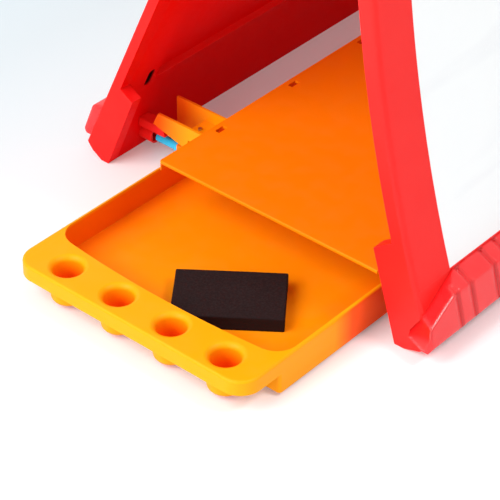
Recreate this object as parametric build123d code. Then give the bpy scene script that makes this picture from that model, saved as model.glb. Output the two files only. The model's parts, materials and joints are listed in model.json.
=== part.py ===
from build123d import *
import os
from math import sqrt, atan, cos, sin

# Tabletop easel: two magnetic boards hinged at the top, a tray between their feet
# with a drawer that slides out at one end, a foam eraser in the drawer and a
# small lock bolt that ties the tray's arm to the rear board's foot.
# Millimetres. +X points out of the white board, +Y runs along the boards' width
# away from the drawer's end, +Z is up. The table is Z = 0.
# The model is drawn about the middle between the feet, and is moved once, at the
# end, so that its origin lies under the middle of its overall box.

os.makedirs("parts", exist_ok=True)

# ---- overall ----------------------------------------------------------------
TOP_Z = 535.0  # top edge of both boards
FOOT_X = 150.0  # inner lower corner of each foot, either side of the middle
LIFT = 0.4  # the frames stand this far off the table, on their rubber feet
FLAT_GAP = 0.2  # play between two flat-sided pieces
CURVE_GAP = 0.3  # play between two curved faces
PAST = 5.0  # how far a cut reaches past what it cuts

# ---- white board panel: upright above, gently bowed outwards below ----------
WHITE_HALF = 228.0  # half of its width in Y
WHITE_THICK = 13.0
WHITE_STILE = 37.0
WHITE_TOP_RAIL = 48.0  # frame above the sheet
BOW_START = 407.7  # height below which the face curves outwards
BOW_OUT = 1148.15  # radius of the outer face
FOOT_DEEP = 34.67  # outer face at the table, from the foot's inner corner
TOP_ROUND = 4.0
STILE_ROUND = 4.5  # outer side edges
RAIL_TOP = 60.0  # top of the thick base rail's upright inner face
RAIL_STEP = 4.0  # how far the base rail runs into the panel
RAIL_WALL = 3.0
SOLE = 8.0  # flat underside of the foot
SOLE_CURVE = [(8.0, 4.2), (3.6, 7.6), (0.5, 13.1), (0.2, 14.2)]  # in from the face, up
CHEEK_DEEP = 11.0  # end cheeks of the feet, along Y
CHEEK_TOP = 72.0
CHEEK_LEAN = 0.303  # run over rise of the cheek's inner edge
CHEEK_SLOPE = 10.0  # rise of the cheek's sloped top

# ---- steel sheets -----------------------------------------------------------
SHEET_THICK = 0.5
SHEET_SINK = 0.1  # the sheet lies this far under the frame's face
SHEET_OVER_LEDGE, REAR_SHEET_OVER_LEDGE = 1.0, 14.0
WEB_THICK = 3.0  # plastic left behind the white sheet
POCKET_LOW_EDGE, POCKET_TOP_EDGE, POCKET_SIDE = 33.5, 9.0, 4.0

# ---- rear panel: flat, leaning at a wider angle -----------------------------
REAR_HALF = 200.0
REAR_THICK = 8.0
REAR_REACH = 17.91  # its inner face meets the table this far outside the foot's corner
REAR_STILE = 42.0
REAR_WEB = 2.2
REAR_POCKET_EDGE = 4.0
REAR_RAIL_TOP = 52.0
REAR_HOLLOW_TOP = 40.0
REAR_HOLLOW_LEAN = 0.0978
REAR_SOLE = 7.0
REAR_SOLE_CURVE = [(10.5, 5.6), (6.1, 11.1), (5.1, 13.6)]  # in from the face, up
REAR_CHEEK = 10.0
REAR_CHEEK_TOP = 67.4
REAR_CHEEK_LEAN = 0.415
REAR_CHEEK_SLOPE = 7.5
SLOT_DEEP, SLOT_WIDE, SLOT_LOW, SLOT_HIGH = 5.5, 7.0, 60.5, 77.0
SLOT_INSET = 36.0  # slot's middle, in from the panel's end

# ---- pen ledges -------------------------------------------------------------
LEDGE_LOW, LEDGE_HIGH = 14.0, 37.5
LEDGE_SEAT = 0.5
# lip, nose and heel of its section: out from the foot's inner corner, and up
LEDGE_LIP, LEDGE_NOSE, LEDGE_HEEL = (30.5, 44.5), (37.2, 19.0), (34.0, 14.0)
LEDGE_LIP_R, LEDGE_NOSE_R = 1.6, 2.5
LEDGE_PAST = 8.0  # its ends reach this far past the panel's ends
LEDGE_END_HIGH = 31.7  # height of its ends
LEDGE_END_SLOPE = 0.41  # rise over run of the slanted top towards its ends
LEDGE_CORNER_R = 6.0
# inner edge of the part that wraps round the panel's end: in from the lip, and up
WRAP_LOW, WRAP_HIGH = (-18.0, 19.9), (-7.9, 35.6)
RIB_PERIOD, RIB_WIDE = 43.0, 16.0  # pairs of grooves, and the rib between a pair
RIB_FIRST = 13.0  # first groove from the middle
GROOVE_WIDE, GROOVE_DEEP = 5.0, 0.6
GROOVE_CORE_WIDE, GROOVE_CORE_DEEP = 2.4, 1.3
REAR_LEDGE_LOW, REAR_LEDGE_HIGH = 16.0, 32.0
REAR_LEDGE_OUT_TOP, REAR_LEDGE_OUT_LOW = 12.0, 8.5
REAR_LEDGE_END = 3.0
REAR_LEDGE_NOSE = 5.0

# ---- hinge ------------------------------------------------------------------
HINGE_DROP = 15.0  # hinge line below the top edge
HINGE_GAP = 28.16  # between the panels' inner faces at the hinge line
KNUCKLE_R, PIN_R, PIN_FIT = 10.0, 4.0, 0.05
KNUCKLE_LONG, KNUCKLE_GAP, KNUCKLE_INSET = 40.0, 0.5, 10.0
KNUCKLE_LEAF = 8.0  # half the height of the web between a knuckle and its panel
CAP_R, CAP_THICK, CAP_BASE = 8.0, 4.0, 0.7

# ---- tray -------------------------------------------------------------------
COVER_TOP, COVER_THICK, COVER_WIDE = 54.4, 2.4, 218.0
COVER_PLAY = 1.0  # between the cover and the white foot
COVER_SKIRT, SKIRT_THICK = 8.0, 2.0
COVER_CORNER, COVER_EDGE = 1.9, 0.9
BEAM_INSET, BEAM_WIDE = 29.0, 30.0  # cross beams, in from the rear panel's ends
BEAM_WALL, BEAM_FLOOR, BEAM_END = 2.2, 2.0, 3.0
BEAM_PLAY = 1.2  # between the drawer's rim and the beams
ARM_TOP = 43.0
ARM_SHORT_TOP, ARM_SHORT_LOW = 26.5, 21.5  # arms end this far from the rear foot's corner
ARM_BRACKET = [(49.0, 7.6), (57.0, 10.0)]  # from the rear foot's corner, below the beam
ARM_PLATE_SHORT, ARM_PLATE_LOW = 20.6, 10.0  # inner plate: its end from that corner, and its foot
ARM_FLOOR_SHORT = 50.0  # the beam's floor ends this far from that corner
SIDE_RAIL, SIDE_RAIL_HIGH, SIDE_RAIL_PAST = 8.0, 8.0, 30.0
RAIL_INSET_LEFT, RAIL_INSET_RIGHT = 2.4, 23.0
TAB_COUNT, TAB_PITCH, TAB_WIDE, TAB_LONG, TAB_SINK = 5, 84.0, 2.4, 7.0, 1.4
WINDOW_LONG, WINDOW_WIDE, WINDOW_INSET = 9.0, 4.4, 7.0
TIE_WIDE, TIE_THICK = 6.0, 3.0

# ---- drawer -----------------------------------------------------------------
DRAWER_WIDE = 214.4
DRAWER_SIDE_GAP = 23.0  # drawer's side to the white foot's corner
DRAWER_PULLED = 132.0  # its front stands this far out of the easel's end
DRAWER_MORE, DRAWER_BACK = 57.0, 94.0  # from there to its stops, outwards and inwards
DRAWER_TOP, DRAWER_LOW = 31.0, 3.0
DRAWER_WALL = 2.6
SHELF_DEEP, SHELF_THICK, SHELF_SKIRT, SHELF_EDGE = 37.2, 2.4, 12.0, 2.2
TUB_LONG, TUB_FLOOR, TUB_FLOOR_TOP = 300.8, 2.2, 8.0
TUB_BOW = 4.7  # how far the tub's front wall bows outwards at its middle
CORNER_R, TUB_CORNER_R, TUB_BACK_R, TUB_IN_R = 17.0, 2.5, 4.0, 17.0
CUP_COUNT, CUP_PITCH, CUP_ASIDE = 4, 48.9, 2.1
CUP_R, CUP_WALL, CUP_BOTTOM, CUP_FLOOR, CUP_LIP = 10.8, 2.4, 3.2, 2.0, 4.4
CUP_HEEL, CUP_RIB = 5.0, 2.4  # rounding of a cup's foot; rib to the tub
CUP_SETBACK = 19.0
LUG_LOW, LUG_HIGH, LUG_WIDE, LUG_LONG, LUG_INSET = 3.0, 3.0, 10.0, 3.0, 30.0

# ---- drawer guides ----------------------------------------------------------
GUIDE_PLAY, GUIDE_SIDE_PLAY = 0.1, 0.4
GUIDE_WALL, GUIDE_LIP, GUIDE_LIP_THICK = 2.2, 3.5, 2.4
GUIDE_PAST = 30.0
GUIDE_FOOT_REACH, GUIDE_FOOT_LONG, GUIDE_FOOT_THICK = 8.0, 10.0, 3.0

# ---- eraser -----------------------------------------------------------------
ERASER_LONG, ERASER_WIDE, ERASER_HIGH = 79.8, 53.0, 11.8
ERASER_TURN = 37.3  # degrees
ERASER_FROM_SIDE, ERASER_FROM_FRONT = 83.0, 43.8  # its middle from the tub's outside
ERASER_EDGE = 0.6

# ---- lock bolt --------------------------------------------------------------
BOLT_INSET = 11.0  # bolt's axis from the arm's outer side
BOLT_DROP = 19.8  # bolt's axis below the beam
BOLT_R, BOLT_LONG, BOLT_NOSE = 3.6, 34.5, 1.6
COLLAR_AT, COLLAR_LONG, COLLAR_OUT = 21.0, 3.0, 1.2
KEEPER_OUT, KEEPER_R, KEEPER_PLAY, KEEPER_DEEP = 13.9, 6.3, 0.3, 10.0
BOLT_REST = 1.6  # bolt's tip to the keeper's mouth, drawn back
BOLT_GUIDE_AT, BOLT_GUIDE_LONG, BOLT_GUIDE_HALF = 25.0, 8.5, 6.0

# ---- tongues of the rear foot inside the arms -------------------------------
TONGUE_HOLD = 3.5  # how far a tongue reaches past its arm's tip
TONGUE_SIDE_PLAY, TONGUE_WIDE, TONGUE_NOSE = 0.8, 11.0, 1.5
TONGUE_LOW, TONGUE_TOP = 21.0, 28.5

# ---- screws and rubber feet -------------------------------------------------
SCREW_Z = 44.0
SCREW_R, SCREW_HEAD_R, SCREW_HEAD, SCREW_LONG, SCREW_HOLE = 1.9, 3.6, 2.2, 10.0, 2.3
SCREW_BITE = 12.0
DRIVE_LONG, DRIVE_WIDE, DRIVE_DEEP = 5.2, 0.9, 1.0
SMALL_SCREW_R, SMALL_HEAD_R, SMALL_HEAD, SMALL_LONG = 1.5, 3.0, 1.8, 6.4
SMALL_DRIVE_LONG, SMALL_DRIVE_WIDE, SMALL_DRIVE_DEEP = 4.2, 0.9, 0.8
PAD_LONG, PAD_WIDE, PAD_HIGH, PAD_INSET = 26.0, 6.4, 9.0, 24.0
PAD_REAR_IN = 8.5  # outer side of a rear pad from the foot's corner

# ---- places that follow from the sizes --------------------------------------
BOW_IN = BOW_OUT + WHITE_THICK
BOW_X = FOOT_X + FOOT_DEEP + sqrt(BOW_OUT**2 - BOW_START**2)
HINGE_Z = TOP_Z - HINGE_DROP
LEDGE_TOP = LEDGE_LOW + LEDGE_HIGH
REAR_LEDGE_TOP = REAR_LEDGE_LOW + REAR_LEDGE_HIGH
SHEET_LOW = LEDGE_TOP + SHEET_OVER_LEDGE
SHEET_HIGH = TOP_Z - WHITE_TOP_RAIL


def bow(radius, z):
    # X of the bowed panel's face of that radius at height z; upright above BOW_START
    drop = BOW_START - min(z, BOW_START)
    return BOW_X - sqrt(radius * radius - drop * drop)


REAR_IN_X = -FOOT_X - REAR_REACH
REAR_LEAN = (bow(BOW_IN, HINGE_Z) - HINGE_GAP - REAR_IN_X) / HINGE_Z
REAR_ANGLE = atan(REAR_LEAN)
REAR_OUT_X = REAR_IN_X - REAR_THICK / cos(REAR_ANGLE)


def rear_x(depth, z):
    # X on the rear panel at height z, depth in from its outer face
    return REAR_OUT_X + depth / cos(REAR_ANGLE) + REAR_LEAN * z


def rail_face(z):
    # X of the rear base rail's inner face
    run = rear_x(REAR_THICK, REAR_RAIL_TOP) + FOOT_X
    return -FOOT_X + run * (z - LIFT) / (REAR_RAIL_TOP - LIFT)


def rear_wall_in(z):
    # X of the rear base rail wall's face inside its hollow
    return -FOOT_X - RAIL_WALL + REAR_HOLLOW_LEAN * (z + PAST)


HINGE_X = (bow(BOW_IN, HINGE_Z) + rear_x(REAR_THICK, HINGE_Z)) / 2
KNUCKLE_END = REAR_HALF - KNUCKLE_INSET
BEAM_LOW = DRAWER_TOP + BEAM_PLAY
BEAM_FAR = REAR_HALF - BEAM_INSET
BEAM_NEAR = BEAM_FAR - BEAM_WIDE
BEAM_MID = (BEAM_NEAR + BEAM_FAR) / 2
COVER_LOW = COVER_TOP - COVER_THICK
COVER_RIGHT = FOOT_X - COVER_PLAY
COVER_LEFT = COVER_RIGHT - COVER_WIDE
ARM_TIP_TOP = -FOOT_X + ARM_SHORT_TOP
ARM_TIP_LOW = -FOOT_X + ARM_SHORT_LOW
RAIL_LEFT_X = COVER_LEFT + RAIL_INSET_LEFT
RAIL_RIGHT_X = COVER_RIGHT - RAIL_INSET_RIGHT - SIDE_RAIL
WINDOW_X = COVER_LEFT + WINDOW_INSET
DRAWER_RIGHT = FOOT_X - DRAWER_SIDE_GAP
DRAWER_LEFT = DRAWER_RIGHT - DRAWER_WIDE
DRAWER_FRONT = -WHITE_HALF - DRAWER_PULLED
TUB_FRONT = DRAWER_FRONT + SHELF_DEEP
TUB_BACK = TUB_FRONT + TUB_LONG
TIE_NEAR = TUB_BACK - LUG_LONG - DRAWER_MORE - TIE_WIDE / 2
TIE_FAR = TUB_BACK + DRAWER_BACK + TIE_WIDE / 2
BOLT_Y = -BEAM_FAR + BOLT_INSET
BOLT_Z = BEAM_LOW - BOLT_DROP
KEEPER_MOUTH = -FOOT_X + KEEPER_OUT
BOLT_TIP = KEEPER_MOUTH + BOLT_REST
REAR_LEDGE_FACE_LOW = rear_x(0, REAR_LEDGE_LOW) - REAR_LEDGE_OUT_LOW


# ---- helpers ----------------------------------------------------------------
def across(y):
    # upright plane that faces -Y, drawn in X and Z
    return Plane(origin=(0, y, 0), x_dir=(1, 0, 0), z_dir=(0, -1, 0))


def slab(points, y0, y1):
    return extrude(across(y1) * make_face(Polyline(*points, close=True)), amount=y1 - y0)


def block(x0, x1, y0, y1, z0, z1):
    middle = Pos((x0 + x1) / 2, (y0 + y1) / 2, (z0 + z1) / 2)
    return middle * Box(x1 - x0, y1 - y0, z1 - z0)


def rod_x(x0, x1, y, z, r):
    return Pos((x0 + x1) / 2, y, z) * Rot(0, 90, 0) * Cylinder(r, abs(x1 - x0))


def rod_y(x, y0, y1, z, r):
    return Pos(x, (y0 + y1) / 2, z) * Rot(90, 0, 0) * Cylinder(r, y1 - y0)


def bowed_line(radius, z0, z1):
    # edges of one bowed face from z0 up to z1
    bend = min(z1, BOW_START)
    heights = (z0, (z0 + bend) / 2, bend)
    edges = [ThreePointArc(*[(bow(radius, z), z) for z in heights])]
    if z1 > BOW_START:
        edges.append(Line((bow(radius, bend), bend), (bow(radius, z1), z1)))
    return edges


def bowed(r_out, r_in, z0, z1, y0, y1):
    edges = bowed_line(r_out, z0, z1) + bowed_line(r_in, z0, z1)
    for z in (z0, z1):
        edges.append(Line((bow(r_out, z), z), (bow(r_in, z), z)))
    return extrude(across(y1) * make_face(edges), amount=y1 - y0)


def rear_slab(depth0, depth1, z0, z1, y0, y1):
    # a piece of the leaning panel between two depths and two heights along its slope
    points = []
    for depth, z in ((depth0, z0), (depth0, z1), (depth1, z1), (depth1, z0)):
        x = REAR_OUT_X + depth * cos(REAR_ANGLE) + REAR_LEAN * z
        points.append((x, z - depth * sin(REAR_ANGLE)))
    return slab(points, y0, y1)


def rounded(x0, x1, y0, y1, z0, z1, r_front, r_back):
    # a block with its four upright edges rounded, its front being at y0
    body = block(x0, x1, y0, y1, z0, z1)
    for y, r in ((y0, r_front), (y1, r_back)):
        corners = body.edges().filter_by(Axis.Z)
        body = fillet(corners.filter_by(lambda e: abs(e.center().Y - y) < FLAT_GAP), r)
    return body


def both_ends(shape):
    # the shape and its mirror image at the other end of the panel
    return [shape, mirror(shape, about=Plane.XZ)]


def group(pieces):
    # separate solids kept together as one named piece
    whole = pieces[0]
    for piece in pieces[1:]:
        whole += piece
    return whole


def keep(node, shape, color, origin):
    shape = shape.moved(Location((-origin.X, -origin.Y, 0)))
    shape.label = node
    shape.color = Color(color)
    export_step(shape, f"parts/{node}.step")
    box = shape.bounding_box()
    corners = [round(v, 1) for v in (*box.min, *box.max)]
    print(node, corners, "cm3", round(shape.volume / 1000, 2))


# ---- white frame ------------------------------------------------------------
W = WHITE_HALF
white_board_half = W - WHITE_STILE
white_frame = bowed(BOW_OUT, BOW_IN, 0, TOP_Z, -W, W)
side_edges = white_frame.edges().filter_by(lambda e: abs(abs(e.center().Y) - W) < FLAT_GAP)
side_edges = side_edges.filter_by(lambda e: e.length > FOOT_X / 2).filter_by(
    lambda e: e.center().X - bow(BOW_OUT, e.center().Z) > -WHITE_THICK / 2
)
white_frame = fillet(side_edges, STILE_ROUND)
outer_foot = bow(BOW_OUT, LEDGE_LOW)
inner_rail = outer_foot - RAIL_WALL
white_frame += slab(
    [
        (FOOT_X, LIFT),
        (FOOT_X, RAIL_TOP),
        (bow(BOW_IN, RAIL_TOP) + RAIL_STEP, RAIL_TOP),
        (inner_rail, SOLE),
        (inner_rail, LIFT),
    ],
    -W,
    W,
)
cheek_high = CHEEK_TOP + CHEEK_SLOPE
cheek = slab(
    [
        (FOOT_X, LIFT),
        (FOOT_X - CHEEK_LEAN * CHEEK_TOP, CHEEK_TOP),
        (bow(BOW_IN, cheek_high) - 1.5, cheek_high),
        (bow(BOW_IN, cheek_high) + RAIL_STEP, cheek_high),
        (bow(BOW_IN, LIFT) - 1.0, LIFT + CHEEK_SLOPE),
        (bow(BOW_IN, LIFT) - 1.0, LIFT),
    ],
    -W,
    -W + CHEEK_DEEP,
)
for piece in both_ends(cheek):
    white_frame += piece
# underside of the foot, flat under its inner part and curving up to the outer face
under = [(FOOT_X + SOLE, LIFT)]
under += [(outer_foot - back, LIFT + up) for back, up in SOLE_CURVE]
under += [
    (outer_foot + FOOT_X, LIFT + SOLE_CURVE[-1][1]),
    (outer_foot + FOOT_X, -FOOT_X),
    (0, -FOOT_X),
    (0, LIFT),
]
white_frame -= slab(under, -W - PAST, W + PAST)
# hollow of the base rail, open below
hollow_low = bow(BOW_OUT, LIFT + SOLE_CURVE[1][1]) - 2 * RAIL_WALL
hollow_high = RAIL_TOP - RAIL_STEP
rail_hollow = [
    (FOOT_X + RAIL_WALL, -PAST),
    (FOOT_X + RAIL_WALL, hollow_high),
    (bow(BOW_OUT, hollow_high) - RAIL_WALL - RAIL_STEP / 4, hollow_high),
    (hollow_low, LEDGE_LOW),
    (hollow_low, -PAST),
]
hollow_half = W - CHEEK_DEEP - 1
white_frame -= slab(rail_hollow, -hollow_half, hollow_half)
# seat of the steel sheet, from the front, and the hollow back behind it
seat_back = BOW_OUT + SHEET_SINK + SHEET_THICK + CURVE_GAP
white_frame -= bowed(
    BOW_OUT - PAST, seat_back, SHEET_LOW, SHEET_HIGH, -white_board_half, white_board_half
)
pocket_half = white_board_half - POCKET_SIDE
white_frame -= bowed(
    seat_back + WEB_THICK,
    BOW_IN + PAST,
    SHEET_LOW + POCKET_LOW_EDGE,
    SHEET_HIGH - POCKET_TOP_EDGE,
    -pocket_half,
    pocket_half,
)
# flat seat for the pen ledge
ledge_seat_low = (bow(BOW_OUT, LEDGE_LOW) - LEDGE_SEAT, LEDGE_LOW)
ledge_seat_top = (bow(BOW_OUT, LEDGE_TOP) - LEDGE_SEAT, LEDGE_TOP)
beyond = outer_foot + FOOT_X
ledge_seat = [ledge_seat_low, ledge_seat_top, (beyond, LEDGE_TOP), (beyond, LEDGE_LOW)]
white_frame -= slab(ledge_seat, -W - PAST, W + PAST)
# knuckles
white_knuckles = [
    (-KNUCKLE_END, -KNUCKLE_END + KNUCKLE_LONG),
    (-KNUCKLE_LONG / 2, KNUCKLE_LONG / 2),
    (KNUCKLE_END - KNUCKLE_LONG, KNUCKLE_END),
]
leaf_low, leaf_high = HINGE_Z - KNUCKLE_LEAF, HINGE_Z + KNUCKLE_LEAF
for y0, y1 in white_knuckles:
    white_frame += rod_y(HINGE_X, y0, y1, HINGE_Z, KNUCKLE_R)
    white_frame += block(HINGE_X, bow(BOW_IN, HINGE_Z) + 1, y0, y1, leaf_low, leaf_high)
white_frame -= rod_y(HINGE_X, -W, W, HINGE_Z, PIN_R + PIN_FIT)
top_edges = white_frame.edges().filter_by(Axis.Y).filter_by(lambda e: e.center().Z > TOP_Z - 0.1)
white_frame = fillet(top_edges.filter_by(lambda e: e.length > W), TOP_ROUND)
for y in (-BEAM_MID, BEAM_MID):
    white_frame -= rod_x(FOOT_X - 1, FOOT_X + SCREW_BITE, y, SCREW_Z, SCREW_R + PIN_FIT)

# ---- white sheet ------------------------------------------------------------
white_sheet = bowed(
    BOW_OUT + SHEET_SINK,
    BOW_OUT + SHEET_SINK + SHEET_THICK,
    SHEET_LOW,
    SHEET_HIGH - FLAT_GAP,
    -white_board_half + FLAT_GAP,
    white_board_half - FLAT_GAP,
)

# ---- white ledge: sloping top, leaning ribbed face, ends wrapped round the panel ----
lip = (FOOT_X + LEDGE_LIP[0], LEDGE_LIP[1])
ledge_nose = (FOOT_X + LEDGE_NOSE[0], LEDGE_NOSE[1])
heel = (FOOT_X + LEDGE_HEEL[0], LEDGE_HEEL[1])
ledge_back = (bow(BOW_OUT, LEDGE_TOP), LEDGE_TOP)
ledge_half = W + LEDGE_PAST
white_ledge = slab(
    [ledge_seat_low, ledge_seat_top, ledge_back, lip, ledge_nose, heel], -ledge_half, ledge_half
)
for corner, radius in ((lip, LEDGE_LIP_R), (ledge_nose, LEDGE_NOSE_R)):
    edge = white_ledge.edges().filter_by(Axis.Y).sort_by(
        lambda e: (e.center().X - corner[0]) ** 2 + (e.center().Z - corner[1]) ** 2
    )
    white_ledge = fillet(edge[0:1], radius)
# the wrap at each end, and the leaning plane that tapers it towards the panel
wrap_low = (lip[0] + WRAP_LOW[0], WRAP_LOW[1])
wrap_high = (lip[0] + WRAP_HIGH[0], WRAP_HIGH[1])
wrap = slab(
    [(wrap_low[0], LEDGE_LOW), wrap_low, wrap_high, lip, ledge_nose, heel], -ledge_half, -W
)
wrap &= slab([(0, LEDGE_LOW), (0, LEDGE_TOP), lip, ledge_nose, heel], -ledge_half, -W)
crease = Vector(wrap_high[0] - wrap_low[0], 0, wrap_high[1] - wrap_low[1])
outwards = Vector(lip[0] + 2 - wrap_low[0], -LEDGE_PAST, 0)
taper = Plane(origin=(wrap_low[0], -W, wrap_low[1]), x_dir=crease, z_dir=outwards.cross(crease))
if taper.z_dir.Y > 0:
    taper = -taper
beyond_taper = extrude(taper * Rectangle(8 * W, 8 * W), amount=4 * LEDGE_PAST)
for piece in both_ends(wrap):
    white_ledge += piece
for cut in both_ends(beyond_taper & block(0, beyond, -W - FOOT_X, -W, -FOOT_X, FOOT_X)):
    white_ledge -= cut
# slanted tops of the ends
over = LEDGE_TOP + PAST
slant_run = (over - LEDGE_END_HIGH) / LEDGE_END_SLOPE
end_outline = [
    (-ledge_half - PAST, LEDGE_END_HIGH - PAST * LEDGE_END_SLOPE),
    (-ledge_half + slant_run, over),
    (-ledge_half - PAST, over),
]
from_middle = Plane(origin=(0, 0, 0), x_dir=(0, 1, 0), z_dir=(1, 0, 0))
end_cut = extrude(from_middle * make_face(Polyline(*end_outline, close=True)), amount=beyond)
for cut in both_ends(end_cut):
    white_ledge -= cut
# rounded outer corners, seen from above
from_above = rounded(
    -beyond, ledge_nose[0] + 1, -ledge_half, ledge_half, 0, FOOT_X, LEDGE_CORNER_R, LEDGE_CORNER_R
)
white_ledge &= from_above
# grooves across the face and the top, in pairs with a rib between
for wide, deep in ((GROOVE_WIDE, GROOVE_DEEP), (GROOVE_CORE_WIDE, GROOVE_CORE_DEEP)):
    groove_side = [
        (ledge_nose[0] - deep, ledge_nose[1] - 2 * PAST),
        (ledge_nose[0] - deep, ledge_nose[1]),
        (lip[0] - deep, lip[1] - deep),
        (ledge_back[0] + deep, LEDGE_TOP - 2 * deep),
        (ledge_back[0] + deep, over),
        (beyond, over),
        (beyond, ledge_nose[1] - 2 * PAST),
    ]
    count = int((W - RIB_FIRST) / RIB_PERIOD)
    for index in range(count):
        for offset in (0, RIB_WIDE):
            y = RIB_FIRST + index * RIB_PERIOD + offset
            groove = slab(groove_side, -y - wide / 2, -y + wide / 2)
            for cut in both_ends(groove):
                white_ledge -= cut

# ---- rear frame -------------------------------------------------------------
R = REAR_HALF
rear_board_half = R - REAR_STILE
rear_frame = rear_slab(0, REAR_THICK, 0, TOP_Z + PAST, -R, R)
rear_frame &= block(-2 * FOOT_X, 2 * FOOT_X, -R - 1, R + 1, -PAST, TOP_Z)
rear_low = REAR_LEDGE_LOW - PAST + 1
rear_skin = REAR_WEB - FLAT_GAP
rear_sole_x = REAR_OUT_X + REAR_SOLE_CURVE[0][0]
rear_back = [
    (rear_x(rear_skin, rear_low), rear_low),
    (rear_sole_x, LIFT),
]
rear_frame += slab(
    [
        (-FOOT_X, LIFT),
        (rear_x(REAR_THICK, REAR_RAIL_TOP), REAR_RAIL_TOP),
        (rear_x(rear_skin, REAR_RAIL_TOP), REAR_RAIL_TOP),
        *rear_back,
    ],
    -R,
    R,
)
rear_cheek_high = REAR_CHEEK_TOP + REAR_CHEEK_SLOPE
rear_cheek = slab(
    [
        (-FOOT_X, LIFT),
        (-FOOT_X + REAR_CHEEK_LEAN * REAR_CHEEK_TOP, REAR_CHEEK_TOP),
        (rear_x(REAR_THICK, rear_cheek_high) - 1, rear_cheek_high),
        (rear_x(rear_skin, REAR_CHEEK_TOP), REAR_CHEEK_TOP),
        *rear_back,
    ],
    -R,
    -R + REAR_CHEEK,
)
for piece in both_ends(rear_cheek):
    rear_frame += piece
rear_under = [(-FOOT_X - REAR_SOLE, LIFT)]
rear_under += [(REAR_OUT_X + back, LIFT + up) for back, up in REAR_SOLE_CURVE]
rear_under += [
    (-2 * FOOT_X, LIFT + REAR_SOLE_CURVE[-1][1]),
    (-2 * FOOT_X, -FOOT_X),
    (0, -FOOT_X),
    (0, LIFT),
]
rear_frame -= slab(rear_under, -R - PAST, R + PAST)
# hollow of the base rail, open below
rear_hollow_x = rear_x(RAIL_WALL + 1, rear_low)
rear_hollow = [
    (rear_wall_in(-PAST), -PAST),
    (rear_wall_in(REAR_HOLLOW_TOP), REAR_HOLLOW_TOP),
    (rear_x(RAIL_WALL + 1, REAR_HOLLOW_TOP), REAR_HOLLOW_TOP),
    (rear_hollow_x, rear_low),
    (rear_hollow_x, -PAST),
]
rear_hollow_half = R - REAR_CHEEK - 1
rear_frame -= slab(rear_hollow, -rear_hollow_half, rear_hollow_half)
# seat of the steel sheet and the hollow behind it
rear_sheet_low = REAR_LEDGE_TOP + REAR_SHEET_OVER_LEDGE
seat_depth = SHEET_SINK + SHEET_THICK
rear_frame -= rear_slab(
    -PAST, seat_depth, rear_sheet_low, SHEET_HIGH, -rear_board_half, rear_board_half
)
rear_frame -= rear_slab(
    seat_depth + REAR_WEB,
    REAR_THICK + PAST,
    rear_sheet_low + REAR_POCKET_EDGE,
    SHEET_HIGH - REAR_POCKET_EDGE,
    -rear_board_half + REAR_POCKET_EDGE / 2,
    rear_board_half - REAR_POCKET_EDGE / 2,
)
# long slots in the stiles' inner faces, above the arms
slot_mid = (SLOT_LOW + SLOT_HIGH) / 2
slot_plane = Plane(
    origin=(rear_x(REAR_THICK - SLOT_DEEP, slot_mid), -R + SLOT_INSET, slot_mid),
    x_dir=(sin(REAR_ANGLE), 0, cos(REAR_ANGLE)),
    z_dir=(cos(REAR_ANGLE), 0, -sin(REAR_ANGLE)),
)
slot_long = (SLOT_HIGH - SLOT_LOW) / cos(REAR_ANGLE)
slot_cut = extrude(slot_plane * SlotOverall(slot_long, SLOT_WIDE), amount=REAR_THICK + PAST)
for slot in both_ends(slot_cut):
    rear_frame -= slot
# knuckles, on both sides of each of the white panel's
half_knuckle = KNUCKLE_LONG / 2
beside_end = KNUCKLE_END - KNUCKLE_LONG
rear_knuckles = [
    (-beside_end + KNUCKLE_GAP, -beside_end + KNUCKLE_LONG),
    (-half_knuckle - KNUCKLE_LONG, -half_knuckle - KNUCKLE_GAP),
    (half_knuckle + KNUCKLE_GAP, half_knuckle + KNUCKLE_LONG),
    (beside_end - KNUCKLE_LONG, beside_end - KNUCKLE_GAP),
]
rear_leaf = [
    (HINGE_X, leaf_high),
    (rear_x(REAR_THICK - 1, HINGE_Z + KNUCKLE_LEAF / 2), leaf_high),
    (rear_x(REAR_THICK - 1, HINGE_Z - KNUCKLE_LEAF * 1.5), leaf_low),
    (HINGE_X, leaf_low),
]
for y0, y1 in rear_knuckles:
    rear_frame += rod_y(HINGE_X, y0, y1, HINGE_Z, KNUCKLE_R)
    rear_frame += slab(rear_leaf, y0, y1)
rear_frame -= rod_y(HINGE_X, -R, R, HINGE_Z, PIN_R + PIN_FIT)

rear_sheet = rear_slab(
    SHEET_SINK,
    seat_depth,
    rear_sheet_low,
    SHEET_HIGH - FLAT_GAP,
    -rear_board_half + FLAT_GAP,
    rear_board_half - FLAT_GAP,
)

# ---- rear ledge: rounded nose -----------------------------------------------
rear_ledge = slab(
    [
        (rear_x(0, REAR_LEDGE_LOW), REAR_LEDGE_LOW),
        (rear_x(0, REAR_LEDGE_TOP), REAR_LEDGE_TOP),
        (rear_x(0, REAR_LEDGE_TOP) - REAR_LEDGE_OUT_TOP, REAR_LEDGE_TOP - 2),
        (REAR_LEDGE_FACE_LOW, REAR_LEDGE_LOW + 3),
        (REAR_LEDGE_FACE_LOW + 2.5, REAR_LEDGE_LOW),
    ],
    -R + REAR_LEDGE_END,
    R - REAR_LEDGE_END,
)
along = rear_ledge.edges().filter_by(Axis.Y)
nose = along.sort_by(lambda e: e.center().X - e.center().Z * REAR_LEAN)[0:2]
rear_ledge = fillet(nose, REAR_LEDGE_NOSE)

# ---- tongues of the rear foot between the plates of the tray's arms ---------
tongue_tip = ARM_TIP_TOP + TONGUE_HOLD
tongue_far = BEAM_FAR - BEAM_WALL - TONGUE_SIDE_PLAY
tongue_rear = slab(
    [
        (rail_face(TONGUE_LOW), TONGUE_LOW),
        (tongue_tip, TONGUE_LOW),
        (tongue_tip - TONGUE_NOSE, TONGUE_TOP),
        (rail_face(TONGUE_TOP), TONGUE_TOP),
    ],
    tongue_far - TONGUE_WIDE,
    tongue_far,
)
tongue_front = mirror(tongue_rear, about=Plane.XZ)

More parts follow.
